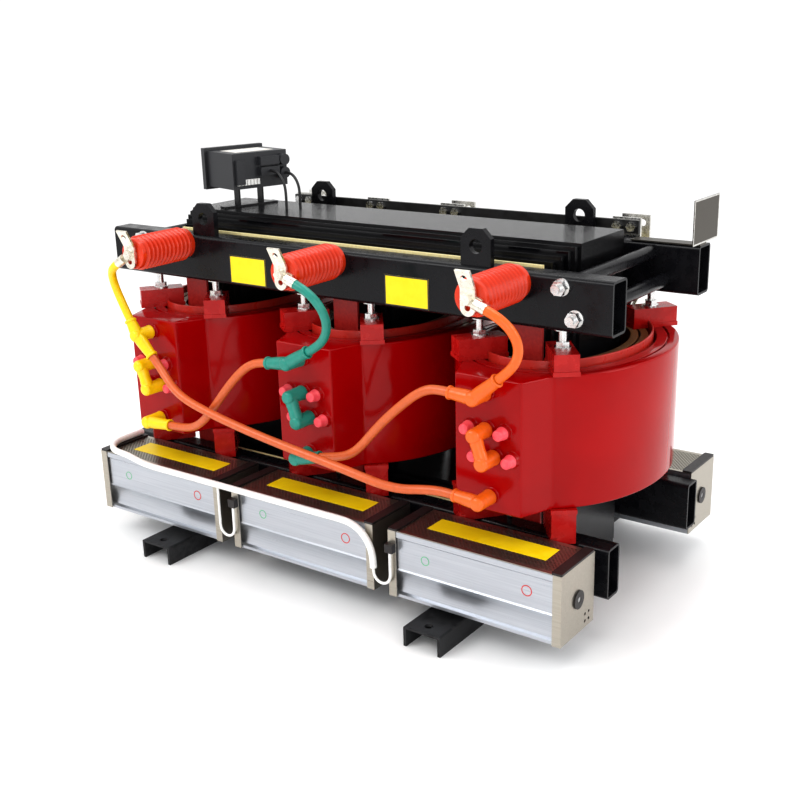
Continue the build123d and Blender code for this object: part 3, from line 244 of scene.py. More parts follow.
def foil_material():
    """Foil coil end: amber, copper and dark turns in rings, read from the piece's own Across attribute."""
    material = bpy.data.materials.new("foil_turns")
    material.use_nodes = True
    tree = material.node_tree
    shader = tree.nodes["Principled BSDF"]
    across = tree.nodes.new("ShaderNodeAttribute")
    across.attribute_name = "Across"
    turns = tree.nodes.new("ShaderNodeMath")
    turns.operation = "MULTIPLY"
    turns.inputs[1].default_value = 17.0
    part = tree.nodes.new("ShaderNodeMath")
    part.operation = "FRACT"
    ramp = tree.nodes.new("ShaderNodeValToRGB")
    ramp.color_ramp.interpolation = "EASE"
    ramp.color_ramp.elements[0].color = (0.04, 0.01, 0.008, 1.0)
    ramp.color_ramp.elements[1].color = (0.30, 0.10, 0.03, 1.0)
    middle = ramp.color_ramp.elements.new(0.55)
    middle.color = (0.42, 0.20, 0.06, 1.0)
    bump = tree.nodes.new("ShaderNodeBump")
    bump.inputs["Distance"].default_value = 0.0008
    bump.inputs["Strength"].default_value = 0.6
    tree.links.new(across.outputs["Fac"], turns.inputs[0])
    tree.links.new(turns.outputs["Value"], part.inputs[0])
    tree.links.new(part.outputs["Value"], ramp.inputs["Fac"])
    tree.links.new(part.outputs["Value"], bump.inputs["Height"])
    tree.links.new(ramp.outputs["Color"], shader.inputs["Base Color"])
    tree.links.new(bump.outputs["Normal"], shader.inputs["Normal"])
    shader.inputs["Roughness"].default_value = 0.38
    return material


MATERIALS = {}


def finish_named(name):
    """The finished material of one name, made once."""
    if name in MATERIALS:
        return MATERIALS[name]
    if name == "foil_coil":
        MATERIALS[name] = foil_material()
        return MATERIALS[name]
    label, colour, second, rough, extra = LOOKS[name]
    if isinstance(colour, str):
        colour = tuple(getattr(finish(), colour))
    if isinstance(second, float):
        second = shade(colour, second)
    MATERIALS[name] = surface_material(label, colour, second, rough, **extra)
    return MATERIALS[name]


# Finish name: material name, colour or the name of a setting, second colour or a factor on the first,
# least and greatest roughness, and what differs from a plain painted surface.
LOOKS = {
    "core_steel": ("core_varnish", (0.003, 0.003, 0.004), (0.008, 0.008, 0.009), (0.1, 0.26),
        dict(coat=0.1, kind="leaf", scale=110.0, depth=0.0005, specular=0.24)),
    "black_enamel": ("black_enamel", "enamel", (0.007, 0.007, 0.009), (0.2, 0.34),
        dict(scale=45.0, depth=0.0002, specular=0.26)),
    "base_enamel": ("base_enamel", (0.008, 0.008, 0.009), (0.03, 0.03, 0.032), (0.4, 0.62),
        dict(scale=90.0, depth=0.0003, specular=0.3)),
    "packer_black": ("packer_black", (0.01, 0.01, 0.011), (0.022, 0.022, 0.023), (0.5, 0.65),
        dict(scale=140.0, depth=0.0002)),
    "red_board": ("red_board", (0.36, 0.007, 0.006), (0.45, 0.02, 0.014), (0.35, 0.5),
        dict(scale=160.0, depth=0.0002)),
    "pale_board": ("pale_board", (0.80, 0.68, 0.32), (0.86, 0.78, 0.46), (0.4, 0.55),
        dict(scale=200.0, depth=0.0002)),
    "red_resin": ("red_resin", "resin", 1.12, (0.1, 0.2),
        dict(coat=0.05, scale=9.0, depth=0.0012, specular=0.2)),
    "barrier_resin": ("barrier_resin", "barrier", 0.85, (0.25, 0.4),
        dict(coat=0.1, scale=60.0, depth=0.0004, specular=0.4)),
    "block_resin": ("block_resin", (0.38, 0.003, 0.003), (0.46, 0.010, 0.008), (0.16, 0.34),
        dict(coat=0.1, scale=40.0, depth=0.0005, specular=0.3)),
    "insulator_resin": ("insulator_resin", "insulator", 0.9, (0.18, 0.26),
        dict(coat=0.1, scale=30.0, depth=0.0003, specular=0.4)),
    "zinc_plate": ("zinc_plate", (0.62, 0.62, 0.63), (0.78, 0.78, 0.76), (0.2, 0.36),
        dict(metallic=1.0, scale=220.0, depth=0.0002)),
    "tinned_copper": ("tinned_copper", (0.70, 0.66, 0.57), (0.84, 0.81, 0.74), (0.22, 0.42),
        dict(metallic=0.95, scale=130.0, depth=0.0002)),
    "tinned_bar": ("tinned_bar", (0.66, 0.65, 0.61), (0.82, 0.81, 0.78), (0.2, 0.38),
        dict(metallic=1.0, scale=150.0, depth=0.0002)),
    "bar_sleeve": ("bar_sleeve", (0.006, 0.006, 0.007), (0.012, 0.012, 0.013), (0.38, 0.5),
        dict(scale=80.0, depth=0.0002)),
    "phase_yellow": ("phase_yellow_rubber", "yellow", 0.92, (0.28, 0.42),
        dict(coat=0.15, scale=120.0, depth=0.0002)),
    "phase_green": ("phase_green_rubber", "green", 0.86, (0.28, 0.42),
        dict(coat=0.15, scale=120.0, depth=0.0002)),
    "phase_orange": ("phase_orange_rubber", "orange", 0.9, (0.28, 0.42),
        dict(coat=0.15, scale=120.0, depth=0.0002)),
    "cable_brown": ("delta_cable_rubber", "delta", 0.9, (0.28, 0.4),
        dict(coat=0.1, scale=120.0, depth=0.0002)),
    "cap_pink": ("tap_cap_rubber", (0.78, 0.07, 0.10), (0.84, 0.11, 0.13), (0.35, 0.48),
        dict(scale=150.0, depth=0.0002)),
    "fan_aluminium": ("fan_aluminium", (0.40, 0.42, 0.46), (0.56, 0.58, 0.61), (0.24, 0.36),
        dict(metallic=0.9, kind="brush", scale=420.0, depth=0.0001)),
    "stainless_sheet": ("stainless_sheet", (0.36, 0.33, 0.28), (0.50, 0.47, 0.41), (0.24, 0.38),
        dict(metallic=0.95, kind="brush", scale=380.0, depth=0.0001)),
    "black_plastic": ("black_plastic", (0.012, 0.009, 0.009), (0.022, 0.018, 0.018), (0.34, 0.5),
        dict(scale=300.0, depth=0.0001)),
    "rotor_aluminium": ("rotor_aluminium", (0.42, 0.42, 0.43), (0.58, 0.58, 0.58), (0.35, 0.5),
        dict(metallic=0.9, kind="brush", scale=300.0, depth=0.0001)),
    "white_conduit": ("white_conduit", (0.80, 0.80, 0.78), (0.88, 0.88, 0.86), (0.34, 0.46),
        dict(scale=140.0, depth=0.0002)),
    "controller_plastic": ("controller_plastic", (0.016, 0.017, 0.02), (0.03, 0.031, 0.036), (0.36, 0.5),
        dict(scale=700.0, depth=0.0001)),
    "black_lead": ("black_lead", (0.008, 0.008, 0.009), (0.016, 0.016, 0.017), (0.35, 0.48),
        dict(scale=200.0, depth=0.0001)),
    "etched_plate": ("etched_plate", (0.07, 0.06, 0.05), (0.14, 0.13, 0.11), (0.3, 0.46),
        dict(metallic=0.9, kind="brush", scale=300.0, depth=0.0001)),
    "notice_yellow": ("notice_yellow", (0.88, 0.66, 0.0), (0.92, 0.71, 0.01), (0.35, 0.48),
        dict(scale=60.0, depth=0.0001)),
    "notice_black": ("notice_black", (0.02, 0.02, 0.02), (0.03, 0.03, 0.03), (0.4, 0.5),
        dict(scale=60.0, depth=0.0001)),
    "ring_green": ("ring_green", (0.10, 0.42, 0.20), (0.14, 0.46, 0.24), (0.4, 0.5),
        dict(scale=90.0, depth=0.0001)),
    "ring_red": ("ring_red", (0.55, 0.03, 0.03), (0.60, 0.05, 0.05), (0.4, 0.5),
        dict(scale=90.0, depth=0.0001)),
    "grey_plug": ("grey_plug", (0.34, 0.37, 0.42), (0.42, 0.45, 0.50), (0.4, 0.5),
        dict(scale=300.0, depth=0.0001)),
    "pale_label": ("pale_label", (0.62, 0.60, 0.56), (0.68, 0.66, 0.62), (0.4, 0.5),
        dict(scale=200.0, depth=0.0001)),
}

# Which finish each construction node wears where it differs from its record slot.
NODE_FINISH = {
    "base_channels": "base_enamel",
    "winding_barriers": "barrier_resin",
    "tie_rod_sleeves": "black_enamel",
}


# ---------------------------------------------------------------- surfaces from grids of points


def linked(name, data, material):
    """A new object in the scene with its data finished in one material."""
    obj = bpy.data.objects.new(name, data)
    bpy.context.scene.collection.objects.link(obj)
    data.materials.append(finish_named(material))
    return obj


def seat(obj, replaces):
    """Puts a piece on the root body and hides the nodes it stands for."""
    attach(obj, ROOT)
    if replaces:
        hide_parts(*replaces)


def surface(name, grids, material, replaces=(), across=None, angle=40.0):
    """One object from grids of points in millimetres, each grid a (rows, columns, 3) array.

    Neighbouring points of a grid make quads, coinciding points of all the grids are merged,
    normals are recalculated to face outwards, and edges sharper than the angle stay sharp.
    """
    points, faces, start = [], [], 0
    for grid in grids:
        rows, columns = grid.shape[:2]
        index = start + np.arange(rows * columns).reshape(rows, columns)
        quads = np.stack([index[:-1, :-1], index[1:, :-1], index[1:, 1:], index[:-1, 1:]], axis=-1)
        points.append(grid.reshape(-1, 3) * MM)
        faces.append(quads.reshape(-1, 4))
        start += rows * columns
    points, faces = np.concatenate(points), np.concatenate(faces)
    mesh = bpy.data.meshes.new(name)
    mesh.vertices.add(len(points))
    mesh.vertices.foreach_set("co", points.ravel().astype(np.float32))
    mesh.loops.add(faces.size)
    mesh.loops.foreach_set("vertex_index", faces.ravel().astype(np.int32))
    mesh.polygons.add(len(faces))
    mesh.polygons.foreach_set("loop_start", np.arange(0, faces.size, 4, dtype=np.int32))
    if across is not None:
        mesh.attributes.new("Across", "FLOAT", "POINT").data.foreach_set(
            "value", np.concatenate([part.ravel() for part in across]).astype(np.float32))
    mesh.update(calc_edges=True)
    work = bmesh.new()
    work.from_mesh(mesh)
    bmesh.ops.remove_doubles(work, verts=work.verts, dist=0.01 * MM)
    bmesh.ops.dissolve_degenerate(work, edges=work.edges, dist=0.005 * MM)
    bmesh.ops.recalc_face_normals(work, faces=work.faces)
    work.to_mesh(mesh)
    work.free()
    mesh.shade_smooth()
    mesh.set_sharp_from_angle(angle=np.radians(angle))
    mesh.validate()
    seat(linked(name, mesh, material), replaces)


def turns(count):
    """Angles of a full turn, with the first repeated at the end so that the seam closes."""
    return np.linspace(0.0, 2.0 * np.pi, count + 1)


def revolved(profile, origin, axis, steps=40):
    """A surface of revolution: each (distance, radius) of the profile is turned about the axis."""
    profile = np.array(profile, dtype=float)
    axis = np.array(axis, dtype=float)
    axis /= np.linalg.norm(axis)
    helper = np.array([0.0, 0.0, 1.0]) if abs(axis[2]) < 0.9 else np.array([1.0, 0.0, 0.0])
    side = np.cross(axis, helper)
    side /= np.linalg.norm(side)
    up = np.cross(side, axis)
    angle = turns(steps)
    circle = np.cos(angle)[:, None] * side + np.sin(angle)[:, None] * up
    along = profile[:, 0][:, None, None] * axis
    return np.array(origin, dtype=float) + along + profile[:, 1][:, None, None] * circle[None]


def slab(low, high):
    """Six grids of a box between two corners."""
    low, high = np.array(low, dtype=float), np.array(high, dtype=float)
    corners = np.array([[x, y, z] for x in (0, 1) for y in (0, 1) for z in (0, 1)])
    corners = low + corners * (high - low)
    sides = ((0, 1, 3, 2), (4, 6, 7, 5), (0, 4, 5, 1), (2, 3, 7, 6), (0, 2, 6, 4), (1, 5, 7, 3))
    return [corners[[side[0], side[1], side[3], side[2]]].reshape(2, 2, 3) for side in sides]


def turned(grids, origin, x_axis, y_axis, z_axis):
    """Grids moved from a local frame to an origin with three axes."""
    axes = np.array([x_axis, y_axis, z_axis], dtype=float)
    return [np.array(origin, dtype=float) + grid @ axes for grid in grids]


# ---------------------------------------------------------------- coils

COIL_CENTRES = (-412.0, 0.0, 412.0)
COIL_BOTTOM, COIL_TOP = 249.6, 494.6
HV_OUTER, HV_INNER = (194.0, 256.0), (151.0, 213.0)
PANEL_FRONT, PANEL_HALF, PANEL_ROOT_HALF, PANEL_ROOT = 290.6, 66.3, 100.0, 205.0
BOSS_RADIUS, BOSS_LENGTH = 14.0, 7.0
BARRIER_WALL, BARRIER_TOP = ((142.0, 204.0), (146.0, 208.0)), 508.0
# Plan semi-axes of the two foil packs, and of the core between them that closes the duct.
FOIL_WALLS = (((102.0, 164.0), (117.0, 179.0)), ((121.0, 183.0), (136.0, 198.0)))
DUCT_WALL, DUCT_DEPTH = ((116.5, 178.5), (121.5, 183.5)), 12.0
CORNER_STEPS, GROOVE_BREAK = 5, 0.8
STUDS = ((-34, 153), (0, 153), (34, 153), (-18, 105.5), (16, 105.5), (50, 105.5))
TOP_TERMINAL, LOW_TERMINAL = (-2.0, 219.0), (8.0, 31.0)


def oval_radius(angle, semi_axes):
    """Distance from the centre of an ellipse to its edge in each direction."""
    return 1.0 / np.hypot(np.cos(angle) / semi_axes[0], np.sin(angle) / semi_axes[1])


def soft_least(first, second, width):
    """The smaller of two lengths, blended over a width so that the corner between them is round."""
    return -width * np.logaddexp(-first / width, -second / width)


def casting_radius(angle):
    """Plan of a coil casting: an oval joined by small fillets to a wedge with a flat front."""
    oval = oval_radius(angle, HV_OUTER)
    sine, cosine = -np.sin(angle), np.abs(np.cos(angle))
    slope = (PANEL_ROOT_HALF - PANEL_HALF) / (PANEL_FRONT - PANEL_ROOT)
    reach = PANEL_HALF + slope * PANEL_FRONT
    front = PANEL_FRONT / np.maximum(sine, 1e-3)
    flank = reach / np.maximum(cosine + slope * sine, 1e-3)
    wedge = np.where(sine > 0.05, soft_least(front, flank, 1.2), 0.0)
    return -soft_least(-oval, -wedge, 1.5)


def ring_grid(inner, outer, angle, edge, low, high, groove=None):
    """A ring between two plan contours, and how far across its wall each point lies.

    The section starts at the inner foot and rises, crosses the top, falls outside and closes. Its four
    corners are quarter circles of the edge radius, and a groove with broken edges may cut the top.
    """
    quarter = np.linspace(0.0, np.pi / 2, CORNER_STEPS)
    out, up = edge * (1 - np.cos(quarter)), edge * (1 - np.sin(quarter))
    wall = (outer - inner)[None]
    flat = np.zeros_like(wall)
    section = [(up, low + out, flat), (out, high - up, flat)]
    if groove:
        start, width, depth = groove
        cut = np.array([[start - GROOVE_BREAK, 0], [start, -GROOVE_BREAK], [start, -depth],
                        [start + width, -depth], [start + width, -GROOVE_BREAK],
                        [start + width + GROOVE_BREAK, 0]])
        section.append((cut[:, 0], high + cut[:, 1], flat))
    section += [(-up, high - out, wall), (-out, low + up, wall)]
    across = np.vstack([part[:, None] + base for part, _, base in section])
    height = np.concatenate([part for _, part, _ in section])
    across, height = np.vstack([across, across[:1]]), np.append(height, height[0])
    radius = inner[None] + across
    return np.stack([radius * np.cos(angle), radius * np.sin(angle),
                     np.broadcast_to(height[:, None], radius.shape)], axis=-1), across / wall


def coil_angles():
    """Angles round a coil, closer together at the corners of the panel."""
    coarse = np.linspace(0.0, 2.0 * np.pi, 181)
    corner = np.arctan2(PANEL_FRONT, PANEL_HALF)
    root = np.arctan2(218.0, 95.0)
    near = [middle + np.linspace(-0.035, 0.035, 21) for middle in
            (2 * np.pi - corner, np.pi + corner, 2 * np.pi - root, np.pi + root)]
    return np.unique(np.round(np.concatenate([coarse, *near]), 6))


def coil_casting(x_centre):
    """The cast coil: a rounded ring with a fine groove in its top, and a boss under every stud."""
    angle = coil_angles()
    angle[-1] = 2.0 * np.pi
    ring, _ = ring_grid(oval_radius(angle, HV_INNER), casting_radius(angle), angle,
                        sizes().edge_round / MM, COIL_BOTTOM, COIL_TOP, groove=(21.5, 4.0, 6.0))
    ring[..., 0] += x_centre
    narrow = BOSS_RADIUS - BOSS_LENGTH * np.tan(np.radians(8))
    profile = [(-2.0, 0.0), (-2.0, BOSS_RADIUS + 1.6), (0.0, BOSS_RADIUS + 1.4),
               (0.5, BOSS_RADIUS + 0.5), (1.4, BOSS_RADIUS - 0.2), (BOSS_LENGTH - 1.0, narrow),
               (BOSS_LENGTH - 0.3, narrow - 0.3), (BOSS_LENGTH - 0.02, narrow - 1.0),
               (BOSS_LENGTH - 0.02, 0.0)]
    grids = [ring]
    for x_place, z_place in (*STUDS, TOP_TERMINAL, LOW_TERMINAL):
        origin = (x_centre + x_place, -PANEL_FRONT, COIL_BOTTOM + z_place)
        grids.append(revolved(profile, origin, (0, -1, 0)))
    return grids


class TRANSFORMER_OT_coils(bpy.types.Operator):
    """Cast coils with their panels, the foil coils inside and the raised barriers between them"""

    bl_idname = "transformer.coils"
    bl_label = "Coils"

    def execute(self, context):
        angle = turns(180)
        for phase, x_centre in zip(PHASES, COIL_CENTRES):
            surface(f"coil_casting_{phase}", coil_casting(x_centre), "red_resin",
                    replaces=(f"hv_winding_{phase}",), angle=38)
            grids, bands = [], []
            for inner, outer in FOIL_WALLS:
                ring, band = ring_grid(oval_radius(angle, inner), oval_radius(angle, outer), angle, 1.2,
                                       COIL_BOTTOM, COIL_TOP)
                ring[..., 0] += x_centre
                grids.append(ring)
                bands.append(band)
            core, band = ring_grid(oval_radius(angle, DUCT_WALL[0]), oval_radius(angle, DUCT_WALL[1]),
                                   angle, 0.3, COIL_BOTTOM + DUCT_DEPTH, COIL_TOP - DUCT_DEPTH)
            core[..., 0] += x_centre
            surface(f"foil_coil_{phase}", grids + [core], "foil_coil",
                    replaces=(f"lv_winding_{phase}",), across=bands + [band])
        rings = []
        for x_centre in COIL_CENTRES:
            ring, _ = ring_grid(oval_radius(angle, BARRIER_WALL[0]), oval_radius(angle, BARRIER_WALL[1]),
                                angle, 1.4, COIL_BOTTOM, BARRIER_TOP)
            ring[..., 0] += x_centre
            rings.append(ring)
        surface("barrier_rings", rings, "barrier_resin", replaces=("winding_barriers",))
        return {"FINISHED"}


# ---------------------------------------------------------------- insulators, boots and caps

INSULATOR_X = (-383.0, 17.0, 417.0)
INSULATOR_ROOT, INSULATOR_LENGTH, INSULATOR_Z = -207.9, 144.0, 645.1
INSULATOR_RADIUS, INSULATOR_CORE, INSULATOR_HEAD = 35.0, 28.5, 31.0
BOOT_FOOT, BOOT_END, BOOT_RADIUS = 297.6, 346.6, 14.5
ARM_DEPTH, ARM_RADIUS, CAP_RADIUS, CAP_LENGTH = 332.6, 13.0, 12.0, 20.0
TEE_ARMS = {"a": ((-18, 31.4), (40, -40)), "b": ((-52, -6.6), (52, 30)), "c": ((-50, 3), (48, 40))}
ELBOW_ARMS = {"a": (66, 4), "b": (60, 14), "c": (-52, 4)}
LINKED = ((0.0, 153.0), (16.0, 105.5))
CAPPED = ((-34, 153), (34, 153), (-18, 105.5), (50, 105.5))
RUBBER = {"a": "phase_yellow", "b": "phase_green", "c": "phase_orange"}


def insulator_profile():
    """Distance and radius along a post insulator: round-crested ribs between two plain heads."""
    ribs = sizes().insulator_ribs
    pitch = INSULATOR_LENGTH / (ribs + 2)
    wave = np.linspace(0.0, 1.0, 13)
    crest = np.sin(np.pi * wave) ** 1.6
    parts = [np.array([(0.0, 0.0), (0.0, INSULATOR_HEAD), (0.82 * pitch, INSULATOR_HEAD),
                       (pitch, INSULATOR_CORE)])]
    for rib in range(ribs):
        along = pitch * (1.0 + rib + wave)
        parts.append(np.column_stack([along, INSULATOR_CORE + (INSULATOR_RADIUS - INSULATOR_CORE) * crest]))
    end = INSULATOR_LENGTH
    quarter = np.linspace(0.0, np.pi / 2, 6)
    parts.append(np.array([(end - 0.9 * pitch, INSULATOR_HEAD)]))
    parts.append(np.column_stack([end - 2.5 + 2.5 * np.sin(quarter),
                                  INSULATOR_HEAD - 2.5 + 2.5 * np.cos(quarter)]))
    parts.append(np.array([(end, 0.0)]))
    return np.vstack(parts)


def barrel_profile(length, radius):
    """A rubber barrel: slight flare at the foot, straight wall, domed end."""
    quarter = np.linspace(0.0, np.pi / 2, 9)
    dome = radius * 0.55
    body = [(0.0, 0.0), (0.0, radius - 0.4), (0.8, radius), (3.0, radius), (5.0, radius - 0.9),
            (length - dome, radius - 1.1)]
    cap = np.column_stack([length - dome + dome * np.sin(quarter),
                           radius - 1.1 - dome + dome * np.cos(quarter)])
    return np.vstack([body, cap, [(length, 0.0)]])


def arm_profile(length, radius, mouth):
    """A sleeve that tapers to its mouth and ends in a round bead."""
    bead = np.linspace(-np.pi / 2, np.pi / 2, 9)
    body = [(0.0, 0.0), (0.0, radius - 0.2), (0.35 * length, radius - 0.3), (length - 6.0, mouth)]
    roll = np.column_stack([length - 3.0 + 2.9 * np.sin(bead), mouth + 0.2 + 1.7 * np.cos(bead)])
    inside = [(length - 0.1, mouth - 1.6), (length - 3.5, mouth - 2.0), (length - 3.5, 0.0)]
    return np.vstack([body, roll, inside])


def boot_grids(phase, x_centre):
    """Barrels over the studs of one coil, and the sleeves that leave them towards the cables."""
    barrel = barrel_profile(BOOT_END - BOOT_FOOT, BOOT_RADIUS)
    grids = []
    seats = [(*TOP_TERMINAL, TEE_ARMS[phase]), (*LOW_TERMINAL, (ELBOW_ARMS[phase],))]
    for x_place, z_place, arms in seats:
        place = (x_centre + x_place, COIL_BOTTOM + z_place)
        grids.append(revolved(barrel, (place[0], -BOOT_FOOT, place[1]), (0, -1, 0)))
        for arm in arms:
            run = np.hypot(*arm)
            grids.append(revolved(arm_profile(run, ARM_RADIUS, 10.8), (place[0], -ARM_DEPTH, place[1]),
                                  (arm[0], 0, arm[1])))
    ends = [(x_centre + x_place, COIL_BOTTOM + z_place) for x_place, z_place in LINKED]
    for place in ends:
        grids.append(revolved(barrel, (place[0], -BOOT_FOOT, place[1]), (0, -1, 0)))
    across, rise = ends[1][0] - ends[0][0], ends[1][1] - ends[0][1]
    run = np.hypot(across, rise)
    neck = [(0.0, 0.0), (0.0, 12.6), (0.3 * run, 12.2), (0.5 * run, 11.4), (0.7 * run, 12.2), (run, 12.6),
            (run, 0.0)]
    grids.append(revolved(neck, (ends[0][0], -ARM_DEPTH, ends[0][1]), (across, 0, rise)))
    return grids


def cap_profile():
    """A rubber cap: rolled foot, tapered wall and a shallow domed end."""
    quarter = np.linspace(0.0, np.pi / 2, 7)
    wall = [(0.0, 0.0), (0.0, CAP_RADIUS - 0.5), (0.7, CAP_RADIUS), (2.6, CAP_RADIUS),
            (3.6, CAP_RADIUS - 1.0), (CAP_LENGTH - 4.0, CAP_RADIUS - 2.0)]
    dome = np.column_stack([CAP_LENGTH - 4.0 + 3.9 * np.sin(quarter),
                            CAP_RADIUS - 6.0 + 4.0 * np.cos(quarter)])
    return np.vstack([wall, dome, [(CAP_LENGTH - 0.1, 0.0)]])


class TRANSFORMER_OT_rubber(bpy.types.Operator):
    """Ribbed post insulators, phase-coloured rubber boots and the caps of the unused taps"""

    bl_idname = "transformer.rubber"
    bl_label = "Insulators and boots"

    def execute(self, context):
        profile = insulator_profile()
        surface("ribbed_insulators",
                [revolved(profile, (x_place, INSULATOR_ROOT, INSULATOR_Z), (0, -1, 0), 56)
                 for x_place in INSULATOR_X],
                "insulator_resin", replaces=("post_insulators",), angle=50)
        for phase, x_centre in zip(PHASES, COIL_CENTRES):
            surface(f"rubber_boots_{phase}", boot_grids(phase, x_centre), RUBBER[phase],
                    replaces=(f"boots_{phase}",), angle=50)
        caps = [revolved(cap_profile(), (x_centre + x_place, -BOOT_FOOT, COIL_BOTTOM + z_place),
                         (0, -1, 0), 32)
                for x_centre in COIL_CENTRES for x_place, z_place in CAPPED]
        surface("rubber_tap_caps", caps, "cap_pink", replaces=("tap_caps",), angle=50)
        return {"FINISHED"}


# ---------------------------------------------------------------- cables

CONDUIT_RADIUS, FAN_LEAD_RADIUS, CONTROLLER_LEAD_RADIUS = 6.75, 2.75, 3.0
# Each route is the list of points that the construction model's cord follows, in millimetres.
ROUTES = {
    "cable_jumper_a": (
        (-416.4, -361.9, 625), (-428.4, -361.9, 617.8), (-442.2, -357.8, 607.8),
        (-452.3, -350.7, 595.1), (-457.7, -343.8, 579.8), (-458.1, -338.4, 562.9),
        (-454.4, -334.9, 546), (-448.1, -333.1, 529.6), (-440, -332.6, 513.9), (-432, -332.6, 500),
    ),
    "cable_jumper_b": (
        (53.4, -361.9, 631.1), (66.5, -361.9, 626.1), (83.5, -360.4, 616.5), (96.8, -356.5, 602.6),
        (104.9, -351.1, 585.6), (107.1, -345.1, 566.9), (103.1, -339.7, 548.5), (93.6, -335.7, 531.8),
        (80, -333.3, 517.8), (63.9, -332.6, 506.6), (50, -332.6, 498.6),
    ),
    "cable_jumper_c": (
        (453.4, -361.9, 631.1), (466.5, -361.9, 626.1), (482.6, -359, 615.9), (494.4, -353.2, 601.6),
        (500.9, -346.5, 584.5), (501.2, -340.4, 566.1), (495.2, -335.8, 548.3), (484.3, -333.3, 532.4),
        (470.3, -332.6, 518.8), (458, -332.6, 508.6),
    ),
    "cable_delta_ab": (
        (-338, -332.6, 284.6), (-318, -332.6, 285.8), (-292.5, -334.1, 288.4), (-267.7, -337.2, 294.4),
        (-244.7, -339.7, 305.8), (-224.5, -341, 321.6), (-206.3, -341.7, 339.8),
        (-189.1, -342.2, 358.9), (-172.2, -342.5, 378.4), (-155.2, -342, 397.8), (-138, -340.3, 416.8),
        (-120.1, -337.3, 435.1), (-99.9, -334.1, 450.6), (-75.8, -332.6, 459.2), (-54, -332.6, 462),
    ),
    "cable_delta_bc": (
        (68, -332.6, 294.6), (87.5, -332.6, 299.1), (110.9, -334, 304.8), (133.5, -337, 312.4),
        (154.3, -339.5, 324.3), (172.6, -340.9, 340), (189.2, -341.6, 357.5), (205.3, -342, 375.4),
        (222, -342.4, 392.9), (239.3, -342.4, 409.7), (257, -341.6, 426), (275.1, -339.7, 441.8),
        (293.8, -336.8, 456.8), (314.5, -334, 468.7), (338, -332.6, 472.9), (360, -332.6, 471.6),
    ),
    "cable_delta_ac": (
        (-374, -332.6, 428.6), (-358.4, -332.6, 413), (-328.8, -339.3, 389.6), (-295.8, -350.6, 373.1),
        (-259.8, -357.8, 361.6), (-222.3, -361.4, 353.4), (-184.4, -364.3, 346.7),
        (-146.3, -367.1, 340.8), (-108.2, -369.4, 335.4), (-69.9, -371.2, 330.3),
        (-31.7, -372.2, 325.3), (6.6, -372.5, 320.3), (44.9, -372.3, 315.3), (83.1, -371.8, 310.3),
        (121.4, -370.8, 305.1), (159.4, -368.7, 299), (197.1, -365.2, 291.4), (234.4, -359.5, 283.4),
        (271.7, -350.4, 280), (308.2, -338.8, 284), (346.1, -332.6, 286.3), (368, -332.6, 284.6),
    ),
    "fan_conduit": (
        (-546, -232, 202.4), (-546.3, -252, 202.5), (-546, -272, 202.4), (-546.2, -288.2, 202.5),
        (-543.8, -305.3, 202.4), (-537.2, -321.2, 202.4), (-526.7, -334.9, 202.4),
        (-513, -345.4, 202.4), (-497.1, -352, 202.4), (-480, -354.2, 202.4), (-456, -354.2, 200.9),
        (-432, -354.6, 196.2), (-408, -354.2, 191.5), (-382, -354.2, 190), (-338.8, -354.8, 190.4),
        (-295.7, -354.2, 190), (-252.5, -354.8, 190.4), (-209.3, -354.2, 190), (-166.2, -354.8, 190.4),
        (-123, -354.2, 190), (-79.8, -354.8, 190.4), (-36.7, -354.2, 190), (6.5, -354.8, 190.4),
        (49.7, -354.2, 190), (92.8, -354.8, 190.4), (136, -354.2, 190), (156.4, -354.2, 186.8),
        (174.8, -354.2, 177.4), (189.4, -354.2, 162.8), (198.8, -354.2, 144.4), (202, -354.2, 124),
        (202, -354.2, 110),
    ),
    "fan_lead_1": (
        (-191, -354.2, 183.2), (-190.7, -354.2, 169.7), (-191, -354.2, 156.1), (-190.7, -354.2, 142.6),
        (-191, -354.2, 129.1), (-190.7, -354.2, 115.5), (-191, -354.2, 102), (-188.4, -354.2, 92.2),
        (-181.2, -354.2, 85.1), (-171.5, -354.2, 82.5), (-161.8, -354.2, 85.1), (-154.6, -354.2, 92.2),
        (-152, -354.2, 102), (-152.3, -354.2, 118), (-152, -354.2, 134), (-152, -354.2, 150),
    ),
    "fan_lead_2": (
        (202, -354.2, 110), (202, -354.2, 102), (204.6, -354.2, 92.2), (211.8, -354.2, 85.1),
        (221.5, -354.2, 82.5), (231.2, -354.2, 85.1), (238.4, -354.2, 92.2), (241, -354.2, 102),
        (240.7, -354.2, 118), (241, -354.2, 134), (241, -354.2, 150),
    ),
    "controller_lead": (
        (-305.6, 35.4, 768.2), (-295.9, 32.8, 768.2), (-284, 29.6, 766.2), (-273.2, 26.7, 760.6),
        (-264.7, 24.4, 751.7), (-259.2, 23, 740.6), (-257.3, 22.5, 728.2), (-257, 22.4, 717.5),
        (-257.3, 22.5, 706.9), (-257.3, 22.5, 696.2),
    ),
    "controller_wires": (
        (-317.1, 0.2, 775.2), (-307.4, -2.4, 775.2), (-294.3, -5.9, 773), (-282.5, -9.1, 766.8),
        (-273.1, -11.6, 757.1), (-267, -13.2, 744.8), (-265, -13.8, 731.2), (-264.7, -13.9, 719.5),
        (-265, -13.8, 707.9), (-265, -13.8, 696.2),
    ),
}
